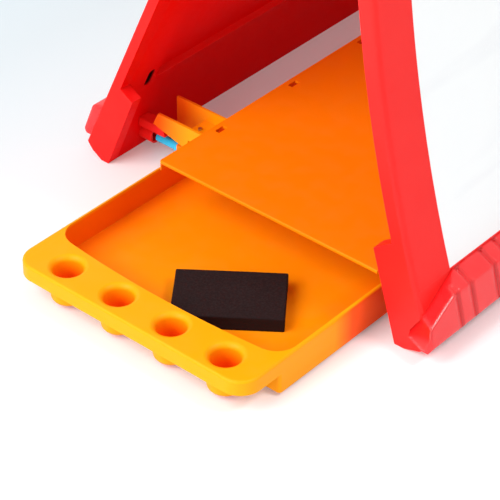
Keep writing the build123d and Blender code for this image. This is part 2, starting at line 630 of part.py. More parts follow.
# ---- keeper: a barrel on the rear foot with a square socket for the bolt ----
bolt_keeper = rod_x(-FOOT_X - 2, KEEPER_MOUTH, BOLT_Y, BOLT_Z, KEEPER_R)
inside_tent = slab(
    [(rail_face(0), 0), (rail_face(ARM_TOP), ARM_TOP), (0, ARM_TOP), (0, 0)], -R, R
)
bolt_keeper &= inside_tent
socket = BOLT_R + KEEPER_PLAY
bolt_keeper -= block(
    KEEPER_MOUTH - KEEPER_DEEP,
    KEEPER_MOUTH + PAST,
    BOLT_Y - socket,
    BOLT_Y + socket,
    BOLT_Z - socket,
    BOLT_Z + socket,
)

# ---- hinge pin and caps -----------------------------------------------------
pin_end = KNUCKLE_END + CAP_THICK - CAP_BASE
hinge_pin = rod_y(HINGE_X, -pin_end, pin_end, HINGE_Z, PIN_R)
cap = rod_y(HINGE_X, KNUCKLE_END, KNUCKLE_END + CAP_THICK, HINGE_Z, CAP_R)
cap -= rod_y(HINGE_X, KNUCKLE_END - 1, pin_end, HINGE_Z, PIN_R + PIN_FIT)
hinge_caps = group(both_ends(cap))

# ---- tray cover -------------------------------------------------------------
tray_cover = block(COVER_LEFT, COVER_RIGHT, -W, W, COVER_LOW, COVER_TOP)
tray_cover += block(
    COVER_LEFT, COVER_LEFT + SKIRT_THICK, -W, W, COVER_TOP - COVER_SKIRT, COVER_TOP
)
outer_corners = tray_cover.edges().filter_by(Axis.Z)
tray_cover = fillet(outer_corners.filter_by(lambda e: e.center().X < COVER_LEFT + 0.1), COVER_CORNER)
notch_x = FOOT_X - CHEEK_LEAN * COVER_TOP - COVER_PLAY - FLAT_GAP
notch = block(notch_x, FOOT_X + PAST, -W - 1, -W + CHEEK_DEEP + 1, ARM_TOP, TOP_Z)
for cut in both_ends(notch):
    tray_cover -= cut
tab_ys = [(index - (TAB_COUNT - 1) / 2) * TAB_PITCH for index in range(TAB_COUNT)]
for y in tab_ys:
    tray_cover -= block(
        WINDOW_X - WINDOW_WIDE / 2,
        WINDOW_X + WINDOW_WIDE / 2,
        y - WINDOW_LONG / 2,
        y + WINDOW_LONG / 2,
        ARM_TOP,
        TOP_Z,
    )
rim = tray_cover.edges().filter_by(Axis.Y)
rim = rim.filter_by(lambda e: e.center().Z > COVER_TOP - 0.1 and e.center().X < COVER_LEFT + 0.5)
tray_cover = fillet(rim, COVER_EDGE)

# ---- tray frame: two cross beams that reach out as arms, rails, ties and snap tabs ----
under_cover = COVER_LEFT + SKIRT_THICK + 1
(bracket_1, bracket_rise_1), (bracket_2, bracket_rise_2) = ARM_BRACKET
beam_side = [
    (ARM_TIP_LOW, BEAM_LOW),
    (-FOOT_X + bracket_1, BEAM_LOW - bracket_rise_1),
    (-FOOT_X + bracket_2, BEAM_LOW - bracket_rise_2),
    (-FOOT_X + bracket_2, BEAM_LOW),
    (FOOT_X, BEAM_LOW),
    (FOOT_X, COVER_LOW),
    (under_cover, COVER_LOW),
    (under_cover, ARM_TOP),
    (ARM_TIP_TOP, ARM_TOP),
]
plate_end, plate_back = -FOOT_X + ARM_PLATE_SHORT, -FOOT_X + bracket_2
inner_side = [(plate_end, ARM_PLATE_LOW), (plate_back, ARM_PLATE_LOW), *beam_side[3:-1]]
inner_side.append((plate_end, ARM_TOP))
floor_end = -FOOT_X + ARM_FLOOR_SHORT
beam_floor = [
    (floor_end, BEAM_LOW),
    (FOOT_X, BEAM_LOW),
    (FOOT_X, BEAM_LOW + BEAM_FLOOR),
    (floor_end, BEAM_LOW + BEAM_FLOOR),
]
beam = slab(inner_side, BEAM_NEAR, BEAM_NEAR + BEAM_WALL)
beam += slab(beam_side, BEAM_FAR - BEAM_WALL, BEAM_FAR)
beam += slab(beam_floor, BEAM_NEAR, BEAM_FAR)
beam += block(FOOT_X - BEAM_END, FOOT_X, BEAM_NEAR, BEAM_FAR, BEAM_LOW, COVER_LOW)
beam -= rod_x(FOOT_X - BEAM_END - 1, FOOT_X + 1, BEAM_MID, SCREW_Z, SCREW_HOLE)
tray_frame = beam + mirror(beam, about=Plane.XZ)
rail_low = COVER_LOW - SIDE_RAIL_HIGH
rail_end = BEAM_FAR + SIDE_RAIL_PAST
for x0 in (RAIL_LEFT_X, RAIL_RIGHT_X):
    x1 = x0 + SIDE_RAIL
    tray_frame += block(x0, x1, -rail_end, rail_end, rail_low, COVER_LOW)
    for y in (TIE_NEAR, TIE_FAR):
        tray_frame += block(x0, x1, y - TIE_WIDE / 2, y + TIE_WIDE / 2, BEAM_LOW, rail_low + 1)
for y in (TIE_NEAR, TIE_FAR):
    tray_frame += block(
        RAIL_LEFT_X,
        RAIL_RIGHT_X + SIDE_RAIL,
        y - TIE_WIDE / 2,
        y + TIE_WIDE / 2,
        BEAM_LOW,
        BEAM_LOW + TIE_THICK,
    )
for y in tab_ys:
    tray_frame += block(
        WINDOW_X - TAB_WIDE / 2,
        WINDOW_X + TAB_WIDE / 2,
        y - TAB_LONG / 2,
        y + TAB_LONG / 2,
        COVER_LOW - 1,
        COVER_TOP - TAB_SINK,
    )
bolt_guide = BOLT_TIP + BOLT_GUIDE_AT
tray_frame += block(
    bolt_guide,
    bolt_guide + BOLT_GUIDE_LONG,
    BOLT_Y - BOLT_GUIDE_HALF,
    -BEAM_NEAR - BEAM_WALL / 2,
    BOLT_Z - BOLT_GUIDE_HALF,
    BOLT_Z + BOLT_GUIDE_HALF,
)
tray_frame -= rod_x(
    bolt_guide - 1, bolt_guide + BOLT_GUIDE_LONG + 1, BOLT_Y, BOLT_Z, BOLT_R + PIN_FIT
)

# ---- drawer guides under the beams ------------------------------------------
guide_lip_top = DRAWER_LOW - GUIDE_PLAY
guide_low = guide_lip_top - GUIDE_LIP_THICK
guide_end = BEAM_FAR + GUIDE_PAST
small_hole = SMALL_SCREW_R + PIN_FIT


def guide(side, drawer_side, y0, y1):
    # an angle with a lip under the drawer's side; side is -1 left and +1 right.
    # Returned with the holes of its two screws.
    wall = drawer_side + side * GUIDE_SIDE_PLAY
    outer = wall + side * GUIDE_WALL
    inner = wall - side * GUIDE_LIP
    piece = block(min(wall, outer), max(wall, outer), y0, y1, guide_low, BEAM_LOW)
    piece += block(
        min(wall, inner),
        max(wall, inner),
        y0,
        y1,
        guide_low,
        guide_lip_top,
    )
    foot_x = outer + side * GUIDE_FOOT_REACH / 2
    holes = []
    for y in (-BEAM_MID, BEAM_MID):
        piece += block(
            foot_x - GUIDE_FOOT_REACH / 2,
            foot_x + GUIDE_FOOT_REACH / 2,
            y - GUIDE_FOOT_LONG / 2,
            y + GUIDE_FOOT_LONG / 2,
            BEAM_LOW - GUIDE_FOOT_THICK,
            BEAM_LOW,
        )
        hole = Pos(foot_x, y, BEAM_LOW) * Cylinder(small_hole, 4 * PAST)
        piece -= hole
        holes.append(hole)
    return piece, holes, foot_x


guide_left, left_holes, left_foot_x = guide(-1, DRAWER_LEFT, -BEAM_FAR, guide_end)
guide_right, right_holes, right_foot_x = guide(1, DRAWER_RIGHT, -guide_end, guide_end)
for hole in left_holes + right_holes:
    tray_frame -= hole

# ---- drawer -----------------------------------------------------------------
tub_left, tub_right = DRAWER_LEFT + DRAWER_WALL, DRAWER_RIGHT - DRAWER_WALL
tub_near, tub_far = TUB_FRONT + DRAWER_WALL, TUB_BACK - DRAWER_WALL
tub_back_in_r = TUB_BACK_R - DRAWER_WALL
skirt_low = DRAWER_TOP - SHELF_SKIRT
drawer = rounded(
    DRAWER_LEFT, DRAWER_RIGHT, TUB_FRONT, TUB_BACK, DRAWER_LOW, DRAWER_TOP, TUB_CORNER_R, TUB_BACK_R
)


def front_bow(y, z0, z1, inset):
    # the part of the tub's front that bows out of the straight line at y
    x0, x1 = DRAWER_LEFT + TUB_IN_R, DRAWER_RIGHT - TUB_IN_R
    middle = ((x0 + x1) / 2, y - TUB_BOW)
    outline = [ThreePointArc((x0, y), middle, (x1, y)), Line((x1, y), (x1, y + inset))]
    outline += [Line((x1, y + inset), (x0, y + inset)), Line((x0, y + inset), (x0, y))]
    return Pos(0, 0, z0) * extrude(make_face(outline), amount=z1 - z0, dir=(0, 0, 1))


drawer += front_bow(TUB_FRONT, DRAWER_LOW, DRAWER_TOP, DRAWER_WALL)
shelf = rounded(
    DRAWER_LEFT, DRAWER_RIGHT, DRAWER_FRONT, TUB_FRONT + 3, skirt_low, DRAWER_TOP, CORNER_R, 0.5
)
shelf -= rounded(
    DRAWER_LEFT + DRAWER_WALL,
    DRAWER_RIGHT - DRAWER_WALL,
    DRAWER_FRONT + DRAWER_WALL,
    TUB_FRONT + 8,
    0,
    DRAWER_TOP - SHELF_THICK,
    CORNER_R - DRAWER_WALL,
    0.5,
)
drawer += shelf
cup_y = DRAWER_FRONT + CUP_SETBACK
cup_middle = (DRAWER_LEFT + DRAWER_RIGHT) / 2 + CUP_ASIDE
cup_xs = [cup_middle + (index - (CUP_COUNT - 1) / 2) * CUP_PITCH for index in range(CUP_COUNT)]
cup_high = DRAWER_TOP - CUP_BOTTOM
for x in cup_xs:
    rib_low, rib_high = TUB_FLOOR_TOP, DRAWER_TOP - SHELF_THICK / 2
    drawer += block(x - CUP_RIB / 2, x + CUP_RIB / 2, cup_y, TUB_FRONT + 1, rib_low, rib_high)
# the tub's hollow and the hollow under its floor
for z0, z1 in ((TUB_FLOOR_TOP, DRAWER_TOP + 1), (-1, TUB_FLOOR_TOP - TUB_FLOOR)):
    drawer -= rounded(tub_left, tub_right, tub_near, tub_far, z0, z1, TUB_IN_R, tub_back_in_r)
    drawer -= front_bow(tub_near, z0, z1, DRAWER_WALL)
for x in cup_xs:
    cup = Pos(x, cup_y, CUP_BOTTOM + cup_high / 2) * Cylinder(CUP_R + CUP_WALL, cup_high)
    drawer += fillet(cup.edges().group_by(Axis.Z)[0], CUP_HEEL)
for x in cup_xs:
    hole = Pos(x, cup_y, CUP_BOTTOM + CUP_FLOOR + cup_high) * Cylinder(CUP_R, 2 * cup_high)
    drawer -= fillet(hole.edges().group_by(Axis.Z)[0], CUP_HEEL - CUP_WALL / 2)
mouths = drawer.edges().filter_by(GeomType.CIRCLE).filter_by(
    lambda e: abs(e.center().Z - DRAWER_TOP) < 0.01 and abs(e.radius - CUP_R) < 0.01
)
drawer = fillet(mouths, CUP_LIP)
brim = drawer.edges().filter_by(GeomType.LINE).filter_by(
    lambda e: abs(e.center().Z - DRAWER_TOP) < 0.01 and abs(e.center().Y - DRAWER_FRONT) < 0.01
)
drawer = fillet(brim, SHELF_EDGE)
# stops that meet the ties when the drawer is drawn right out or pushed right in
for x in (DRAWER_LEFT + LUG_INSET, DRAWER_RIGHT - LUG_INSET):
    drawer += block(
        x - LUG_WIDE / 2,
        x + LUG_WIDE / 2,
        TUB_BACK - LUG_LONG,
        TUB_BACK,
        DRAWER_TOP - LUG_LOW,
        DRAWER_TOP + LUG_HIGH,
    )

# ---- eraser -----------------------------------------------------------------
eraser_place = Pos(
    DRAWER_RIGHT - ERASER_FROM_SIDE,
    TUB_FRONT + ERASER_FROM_FRONT,
    TUB_FLOOR_TOP + ERASER_HIGH / 2,
)
eraser = eraser_place * Rot(0, 0, ERASER_TURN) * Box(ERASER_LONG, ERASER_WIDE, ERASER_HIGH)
eraser = fillet(eraser.edges(), ERASER_EDGE)

# ---- lock bolt --------------------------------------------------------------
collar = BOLT_TIP + COLLAR_AT
lock_bolt = rod_x(BOLT_TIP, BOLT_TIP + BOLT_LONG, BOLT_Y, BOLT_Z, BOLT_R)
lock_bolt += rod_x(collar, collar + COLLAR_LONG, BOLT_Y, BOLT_Z, BOLT_R + COLLAR_OUT)
tip_edge = lock_bolt.edges().filter_by(lambda e: abs(e.center().X - BOLT_TIP) < 0.01)
lock_bolt = fillet(tip_edge, BOLT_NOSE)

# ---- screws -----------------------------------------------------------------
tray_screws = []
for y in (-BEAM_MID, BEAM_MID):
    seat_x = FOOT_X - BEAM_END
    head_x = seat_x - SCREW_HEAD
    body = rod_x(head_x, seat_x, y, SCREW_Z, SCREW_HEAD_R)
    body += rod_x(seat_x, seat_x + SCREW_LONG, y, SCREW_Z, SCREW_R)
    for long, tall in ((DRIVE_LONG, DRIVE_WIDE), (DRIVE_WIDE, DRIVE_LONG)):
        body -= block(
            head_x - 1,
            head_x + DRIVE_DEEP,
            y - long / 2,
            y + long / 2,
            SCREW_Z - tall / 2,
            SCREW_Z + tall / 2,
        )
    tray_screws.append(body)

guide_screws = []
guide_seat = BEAM_LOW - GUIDE_FOOT_THICK
for y in (-BEAM_MID, BEAM_MID):
    for x in (left_foot_x, right_foot_x):
        body = Pos(x, y, guide_seat - SMALL_HEAD / 2) * Cylinder(SMALL_HEAD_R, SMALL_HEAD)
        body += Pos(x, y, guide_seat + SMALL_LONG / 2) * Cylinder(SMALL_SCREW_R, SMALL_LONG)
        recess = Box(SMALL_DRIVE_LONG, SMALL_DRIVE_WIDE, 2 * SMALL_DRIVE_DEEP)
        recess += Box(SMALL_DRIVE_WIDE, SMALL_DRIVE_LONG, 2 * SMALL_DRIVE_DEEP)
        guide_screws.append(body - Pos(x, y, guide_seat - SMALL_HEAD) * recess)

# ---- rubber feet ------------------------------------------------------------
white_feet = []
rear_feet = []
for side in (-1, 1):
    y = side * (W - CHEEK_DEEP - PAD_INSET)
    pad_x = FOOT_X + RAIL_WALL
    white_feet.append(
        block(pad_x, pad_x + PAD_WIDE, y - PAD_LONG / 2, y + PAD_LONG / 2, 0, PAD_HIGH)
    )
    y = side * (R - REAR_CHEEK - PAD_INSET)
    pad_x = -FOOT_X - PAD_REAR_IN
    plug = [(rear_wall_in(0), 0), (rear_wall_in(PAD_HIGH), PAD_HIGH), (pad_x, PAD_HIGH), (pad_x, 0)]
    rear_feet.append(slab(plug, y - PAD_LONG / 2, y + PAD_LONG / 2))

RED, BRIGHT_RED, DARK_RED = 0xE01010, 0xE82020, 0xC00808
YELLOW, ORANGE, BLUE = 0xFFB400, 0xFF8000, 0x28B8F0
WHITE, BLACK, STEEL = 0xF4F6F6, 0x282020, 0xB0B4B8
pieces = {
    "white_frame": (white_frame, RED),
    "white_sheet": (white_sheet, WHITE),
    "white_ledge": (white_ledge, BRIGHT_RED),
    "white_feet": (group(white_feet), BLACK),
    "rear_frame": (rear_frame, RED),
    "rear_sheet": (rear_sheet, WHITE),
    "rear_ledge": (rear_ledge, BRIGHT_RED),
    "rear_feet": (group(rear_feet), BLACK),
    "tongue_front": (tongue_front, DARK_RED),
    "tongue_rear": (tongue_rear, DARK_RED),
    "bolt_keeper": (bolt_keeper, DARK_RED),
    "hinge_pin": (hinge_pin, STEEL),
    "hinge_caps": (hinge_caps, RED),
    "tray_cover": (tray_cover, ORANGE),
    "tray_frame": (tray_frame, YELLOW),
    "tray_screws": (group(tray_screws), STEEL),
    "guide_screws": (group(guide_screws), STEEL),
    "guide_left": (guide_left, YELLOW),
    "guide_right": (guide_right, YELLOW),
    "drawer": (drawer, YELLOW),
    "eraser": (eraser, BLACK),
    "lock_bolt": (lock_bolt, BLUE),
}

# ---- the origin goes under the middle of the overall box --------------------
low_x = rear_ledge.bounding_box().min.X
high_x = white_ledge.bounding_box().max.X
origin = Vector((low_x + high_x) / 2, (DRAWER_FRONT + ledge_half) / 2, 0)
print("origin", origin.X, origin.Y)
for node, (shape, color) in pieces.items():
    keep(node, shape, color, origin)
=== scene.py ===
# %% [markdown]
# # A tabletop whiteboard easel in moulded plastic
# Two magnetic boards lean against each other on a hinge. Between their feet
# sits an orange tray cover on yellow beams, and under it a drawer with four
# marker cups slides out of the near end. A foam eraser lies in the drawer.
# The hard parts come ready made from the CAD frame. This lesson gives them
# soft moulded edges and real surfaces, cuts a foam eraser, and sets up a
# plain bright studio around them.

# %% Load the frame
import json
import math

import bmesh
import bpy
from mathutils import Matrix, Vector, noise


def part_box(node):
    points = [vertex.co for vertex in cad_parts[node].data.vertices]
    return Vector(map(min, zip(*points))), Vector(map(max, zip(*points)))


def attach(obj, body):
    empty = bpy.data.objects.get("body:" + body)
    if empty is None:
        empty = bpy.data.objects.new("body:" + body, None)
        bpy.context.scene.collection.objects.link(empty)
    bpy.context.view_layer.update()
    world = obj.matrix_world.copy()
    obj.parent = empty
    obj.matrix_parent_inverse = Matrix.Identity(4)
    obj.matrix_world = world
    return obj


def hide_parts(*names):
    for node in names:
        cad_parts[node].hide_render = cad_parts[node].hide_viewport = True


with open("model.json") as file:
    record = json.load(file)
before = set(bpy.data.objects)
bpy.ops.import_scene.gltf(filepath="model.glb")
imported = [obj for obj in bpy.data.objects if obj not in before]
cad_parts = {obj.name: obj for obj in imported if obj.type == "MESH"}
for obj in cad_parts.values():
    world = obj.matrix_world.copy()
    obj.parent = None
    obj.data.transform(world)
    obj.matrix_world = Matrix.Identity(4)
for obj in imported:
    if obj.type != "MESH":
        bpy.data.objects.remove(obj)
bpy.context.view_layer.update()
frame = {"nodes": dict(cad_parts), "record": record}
nodes = frame["nodes"]
MM = 0.001

# %% [markdown]
# ## The camera
# A product shot like this one is taken from above with a long lens, so that
# the near corner of the drawer is not swollen. A camera is described by where
# it stands, where it looks (a heading and a tilt) and its focal length. The
# three directions of its frame are worked out and put into one matrix, which
# is exact, where aiming it by hand is only close.

# %% Camera
STAND_AT = Vector((815.77, -1097.92, 933.85)) * MM
HEADING, TILT, ROLL = (math.radians(a) for a in (130.72, -36.737, 0.328))
LENS = 154.34

look = Vector(
    (math.cos(TILT) * math.cos(HEADING), math.cos(TILT) * math.sin(HEADING), math.sin(TILT))
)
level_right = look.cross(Vector((0, 0, 1))).normalized()
level_up = level_right.cross(look)
right = math.cos(ROLL) * level_right + math.sin(ROLL) * level_up
up = -math.sin(ROLL) * level_right + math.cos(ROLL) * level_up
camera_data = bpy.data.cameras.new("studio_camera")
camera_data.lens = LENS
camera_data.sensor_width = 36.0
camera = bpy.data.objects.new("studio_camera", camera_data)
bpy.context.scene.collection.objects.link(camera)
axes = Matrix((right, up, -look)).transposed()
camera.matrix_world = Matrix.Translation(STAND_AT) @ axes.to_4x4()
bpy.context.scene.camera = camera
bpy.context.scene.view_settings.view_transform = "Standard"
print("camera at", [round(v, 3) for v in STAND_AT], "lens", LENS)

# %% [markdown]
# ## Node tools
# Every material below is built from nodes. Three small helpers keep the cells
# short: one adds a node and fills its sockets, one links two sockets, and one
# opens an empty shader group with named inputs and outputs.


# %% Node tools
def add_node(tree, kind, values=None, **settings):
    node = tree.nodes.new(kind)
    for key, value in settings.items():
        setattr(node, key, value)
    for key, value in (values or {}).items():
        socket = node.inputs[key]
        if isinstance(value, bpy.types.NodeSocket):
            tree.links.new(value, socket)
        else:
            socket.default_value = value
    return node


def math_node(tree, operation, *values, clamp=False):
    filled = dict(enumerate(values))
    node = add_node(tree, "ShaderNodeMath", filled, operation=operation, use_clamp=clamp)
    return node.outputs[0]


def mix_colour(tree, factor, one, two):
    node = add_node(tree, "ShaderNodeMix", data_type="RGBA")
    for index, value in ((0, factor), (6, one), (7, two)):
        if isinstance(value, bpy.types.NodeSocket):
            tree.links.new(value, node.inputs[index])
        else:
            node.inputs[index].default_value = value
    return node.outputs[2]


def remap(tree, value, low, high, to_low=0.0, to_high=1.0):
    node = add_node(tree, "ShaderNodeMapRange", clamp=True)
    tree.links.new(value, node.inputs["Value"])
    ends = (("From Min", low), ("From Max", high), ("To Min", to_low), ("To Max", to_high))
    for key, number in ends:
        if isinstance(number, bpy.types.NodeSocket):
            tree.links.new(number, node.inputs[key])
        else:
            node.inputs[key].default_value = number
    return node.outputs["Result"]


def new_group(name, inputs, outputs):
    tree = bpy.data.node_groups.new(name, "ShaderNodeTree")
    for label, kind, default in inputs:
        socket = tree.interface.new_socket(name=label, in_out="INPUT", socket_type=kind)
        socket.default_value = default
    for label, kind in outputs:
        tree.interface.new_socket(name=label, in_out="OUTPUT", socket_type=kind)
    return tree, tree.nodes.new("NodeGroupInput"), tree.nodes.new("NodeGroupOutput")


NUMBER = "NodeSocketFloat"
PALE_DUST = (0.80, 0.78, 0.74, 1.0)
print("node tools ready")

# %% [markdown]
# ## Moulded skin
# A steel mould is etched or spark-eroded, so plastic that comes out of it has
# a very fine pebble, and it is never quite even: where the melt flowed slowly
# the tone is a shade deeper. Both follow the piece itself, so the group reads
# object coordinates. One noise at the size of the pebble gives the height,
# and a wide one gives the flow.


# %% Group: moulded skin
def build_skin():
    tree, start, end = new_group(
        "moulded_skin",
        [("Pebble mm", NUMBER, 0.5), ("Flow mm", NUMBER, 60.0)],
        [("Height", NUMBER), ("Flow", NUMBER), ("Mottle", NUMBER)],
    )
    place = add_node(tree, "ShaderNodeTexCoord").outputs["Object"]
    pebble_scale = math_node(tree, "DIVIDE", 1000.0, start.outputs["Pebble mm"])
    pebble = add_node(
        tree, "ShaderNodeTexNoise", {"Vector": place, "Scale": pebble_scale, "Detail": 2.0}
    )
    flow_scale = math_node(tree, "DIVIDE", 1000.0, start.outputs["Flow mm"])
    flow = add_node(
        tree,
        "ShaderNodeTexNoise",
        {"Vector": place, "Scale": flow_scale, "Detail": 3.0, "Distortion": 0.8},
    )
    mottle_scale = math_node(tree, "MULTIPLY", flow_scale, 9.0)
    mottle = add_node(
        tree, "ShaderNodeTexNoise", {"Vector": place, "Scale": mottle_scale, "Detail": 4.0}
    )
    tree.links.new(pebble.outputs[0], end.inputs["Height"])
    tree.links.new(remap(tree, flow.outputs[0], 0.3, 0.7), end.inputs["Flow"])
    tree.links.new(remap(tree, mottle.outputs[0], 0.35, 0.68), end.inputs["Mottle"])
    return tree


skin_group = build_skin()
print("group", skin_group.name)

# %% [markdown]
# ## Worn edges
# Corners are touched most, so they are polished and a little paler than the
# faces beside them. The Bevel node gives the normal that a rounded corner
# would have. Where it turns away from the true one, there is an edge. A
# broken noise keeps the line from looking drawn on.


# %% Group: worn edges
def build_edges():
    tree, start, end = new_group(
        "worn_edges", [("Width mm", NUMBER, 0.6), ("Patch mm", NUMBER, 12.0)], [("Mask", NUMBER)]
    )
    width = math_node(tree, "MULTIPLY", start.outputs["Width mm"], MM)
    round_normal = add_node(tree, "ShaderNodeBevel", {"Radius": width}, samples=4)
    true_normal = add_node(tree, "ShaderNodeNewGeometry").outputs["Normal"]
    agree = add_node(tree, "ShaderNodeVectorMath", operation="DOT_PRODUCT")
    tree.links.new(round_normal.outputs[0], agree.inputs[0])
    tree.links.new(true_normal, agree.inputs[1])
    edge = remap(tree, agree.outputs["Value"], 0.98, 0.78)
    place = add_node(tree, "ShaderNodeTexCoord").outputs["Object"]
    patch_scale = math_node(tree, "DIVIDE", 1000.0, start.outputs["Patch mm"])
    patches = add_node(
        tree, "ShaderNodeTexNoise", {"Vector": place, "Scale": patch_scale, "Detail": 4.0}
    )
    broken = remap(tree, patches.outputs[0], 0.38, 0.62, 0.25, 1.0)
    tree.links.new(math_node(tree, "MULTIPLY", edge, broken), end.inputs["Mask"])
    return tree


edge_group = build_edges()
print("group", edge_group.name)

# %% [markdown]
# ## Handling marks and dust
# A desk easel is handled with bare hands and rests under lamps. Fine scuffs
# run every way over its faces, and a film of dust lies on what looks up.
# The scuffs are stretched noise, twice, at right angles to each other. The
# dust follows the upward part of the normal, broken up by noise.


# %% Groups: scuffs and dust
def build_scuffs():
    tree, start, end = new_group("scuffs", [("Length mm", NUMBER, 9.0)], [("Mask", NUMBER)])
    place = add_node(tree, "ShaderNodeTexCoord").outputs["Object"]
    scale = math_node(tree, "DIVIDE", 1000.0, start.outputs["Length mm"])
    strokes = []
    for turn, stretch in ((0.5, (1.0, 22.0, 8.0)), (-0.9, (20.0, 1.0, 9.0))):
        turned = add_node(
            tree,
            "ShaderNodeMapping",
            {"Vector": place, "Rotation": (0.3, turn, turn), "Scale": stretch},
        )
        line = add_node(
            tree,
            "ShaderNodeTexNoise",
            {"Vector": turned.outputs[0], "Scale": scale, "Detail": 1.0},
        )
        strokes.append(remap(tree, line.outputs[0], 0.66, 0.74))
    both = math_node(tree, "MAXIMUM", *strokes)
    tree.links.new(both, end.inputs["Mask"])
    return tree


def build_dust():
    tree, start, end = new_group("dust", [("Clump mm", NUMBER, 14.0)], [("Mask", NUMBER)])
    normal = add_node(tree, "ShaderNodeNewGeometry").outputs["Normal"]
    facing = add_node(tree, "ShaderNodeSeparateXYZ", {0: normal}).outputs["Z"]
    upward = remap(tree, facing, 0.35, 1.0)
    place = add_node(tree, "ShaderNodeTexCoord").outputs["Object"]
    scale = math_node(tree, "DIVIDE", 1000.0, start.outputs["Clump mm"])
    clumps = add_node(
        tree, "ShaderNodeTexNoise", {"Vector": place, "Scale": scale, "Detail": 6.0}
    )
    broken = remap(tree, clumps.outputs[0], 0.42, 0.72)
    tree.links.new(math_node(tree, "MULTIPLY", upward, broken), end.inputs["Mask"])
    return tree


scuff_group, dust_group = build_scuffs(), build_dust()
print("groups", scuff_group.name, dust_group.name)

# %% [markdown]
# ## Painted shade in the drawer
# Light bouncing from wall to wall in the yellow drawer turns red-orange, and
# less light reaches its deep places. That light and shade are painted into the
# colour: the walls are painted red-orange inside, the floor is painted orange
# and redder towards them, and the cups are painted deeper as they go down. All
# that faces outwards stays yellow, up to where the near foot's painted shadow,
# with its red bounce, falls on it. The mask is worked out from the distance to
# the nearest wall and to the nearest cup's axis. The walls' places come from
# the frame's box of the drawer, and the cups' from its mounts, so both follow
# when the drawer changes.


# %% Painted shade inside the drawer
def box_mm(node_name):
    low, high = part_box(node_name)
    return low / MM, high / MM


low, high = box_mm("drawer")
WALL, SHELF, TUB_CORNER, TUB_BOW = 2.6, 37.2, 17.0, 4.7
LUG_HIGH, FLOOR_HIGH = 3.0, 5.0  # stop lugs above the rim; floor above the lowest edge
TUB_SIDES = (low.x + WALL, high.x - WALL)
TUB_ENDS = (low.y + SHELF + WALL, high.y - WALL)
TUB_BOTTOM, TUB_RIM = low.z + FLOOR_HIGH, high.z - LUG_HIGH
BOW_HALF = (high.x - low.x) / 2 - TUB_CORNER

cups = [m for m in frame["record"]["mounts"] if m["name"].startswith("marker_cup")]
cup_places = [Vector(m["pos_m"]) / MM for m in cups]
CUP_FIRST, CUP_LINE = cup_places[0].x, cup_places[0].y
CUP_PITCH = cup_places[1].x - CUP_FIRST
CUP_REACH = cups[0]["dims"]["r_mm"] + 0.4
# The cups' painted shade deepens between these two heights.
CUP_TOP, CUP_DEEP = TUB_RIM - 2.5, TUB_RIM - 16.0  # a cup deepens between these

foot_near_end = box_mm("white_frame")[0].y
# The near foot's painted shadow, with painted red bounce, falls on the drawer's outer side between
# these places.
FOOT_SHADE = (foot_near_end - 37.0, foot_near_end - 18.0)  # its red falls from here on
# How far the walls' painted shade reaches over the floor, then the painted shade tones of floor,
# walls, cups and the foot's shadow.
WALL_SHADE_REACH = 34.0  # how far the walls redden the floor
FLOOR_PAINTED_SHADE, NEAR_WALL_PAINTED_SHADE = (0.98, 0.30, 0.001, 1.0), (0.98, 0.20, 0.001, 1.0)
WALL_PAINTED_SHADE, CUP_PAINTED_SHADE = (0.98, 0.17, 0.001, 1.0), (0.98, 0.13, 0.001, 1.0)
FOOT_PAINTED_SHADOW = (0.98, 0.12, 0.012, 1.0)


def own_mm(tree):
    place = add_node(tree, "ShaderNodeTexCoord").outputs["Object"]
    split = add_node(tree, "ShaderNodeSeparateXYZ", {0: place})
    return [math_node(tree, "MULTIPLY", split.outputs[n], 1000.0) for n in range(3)]


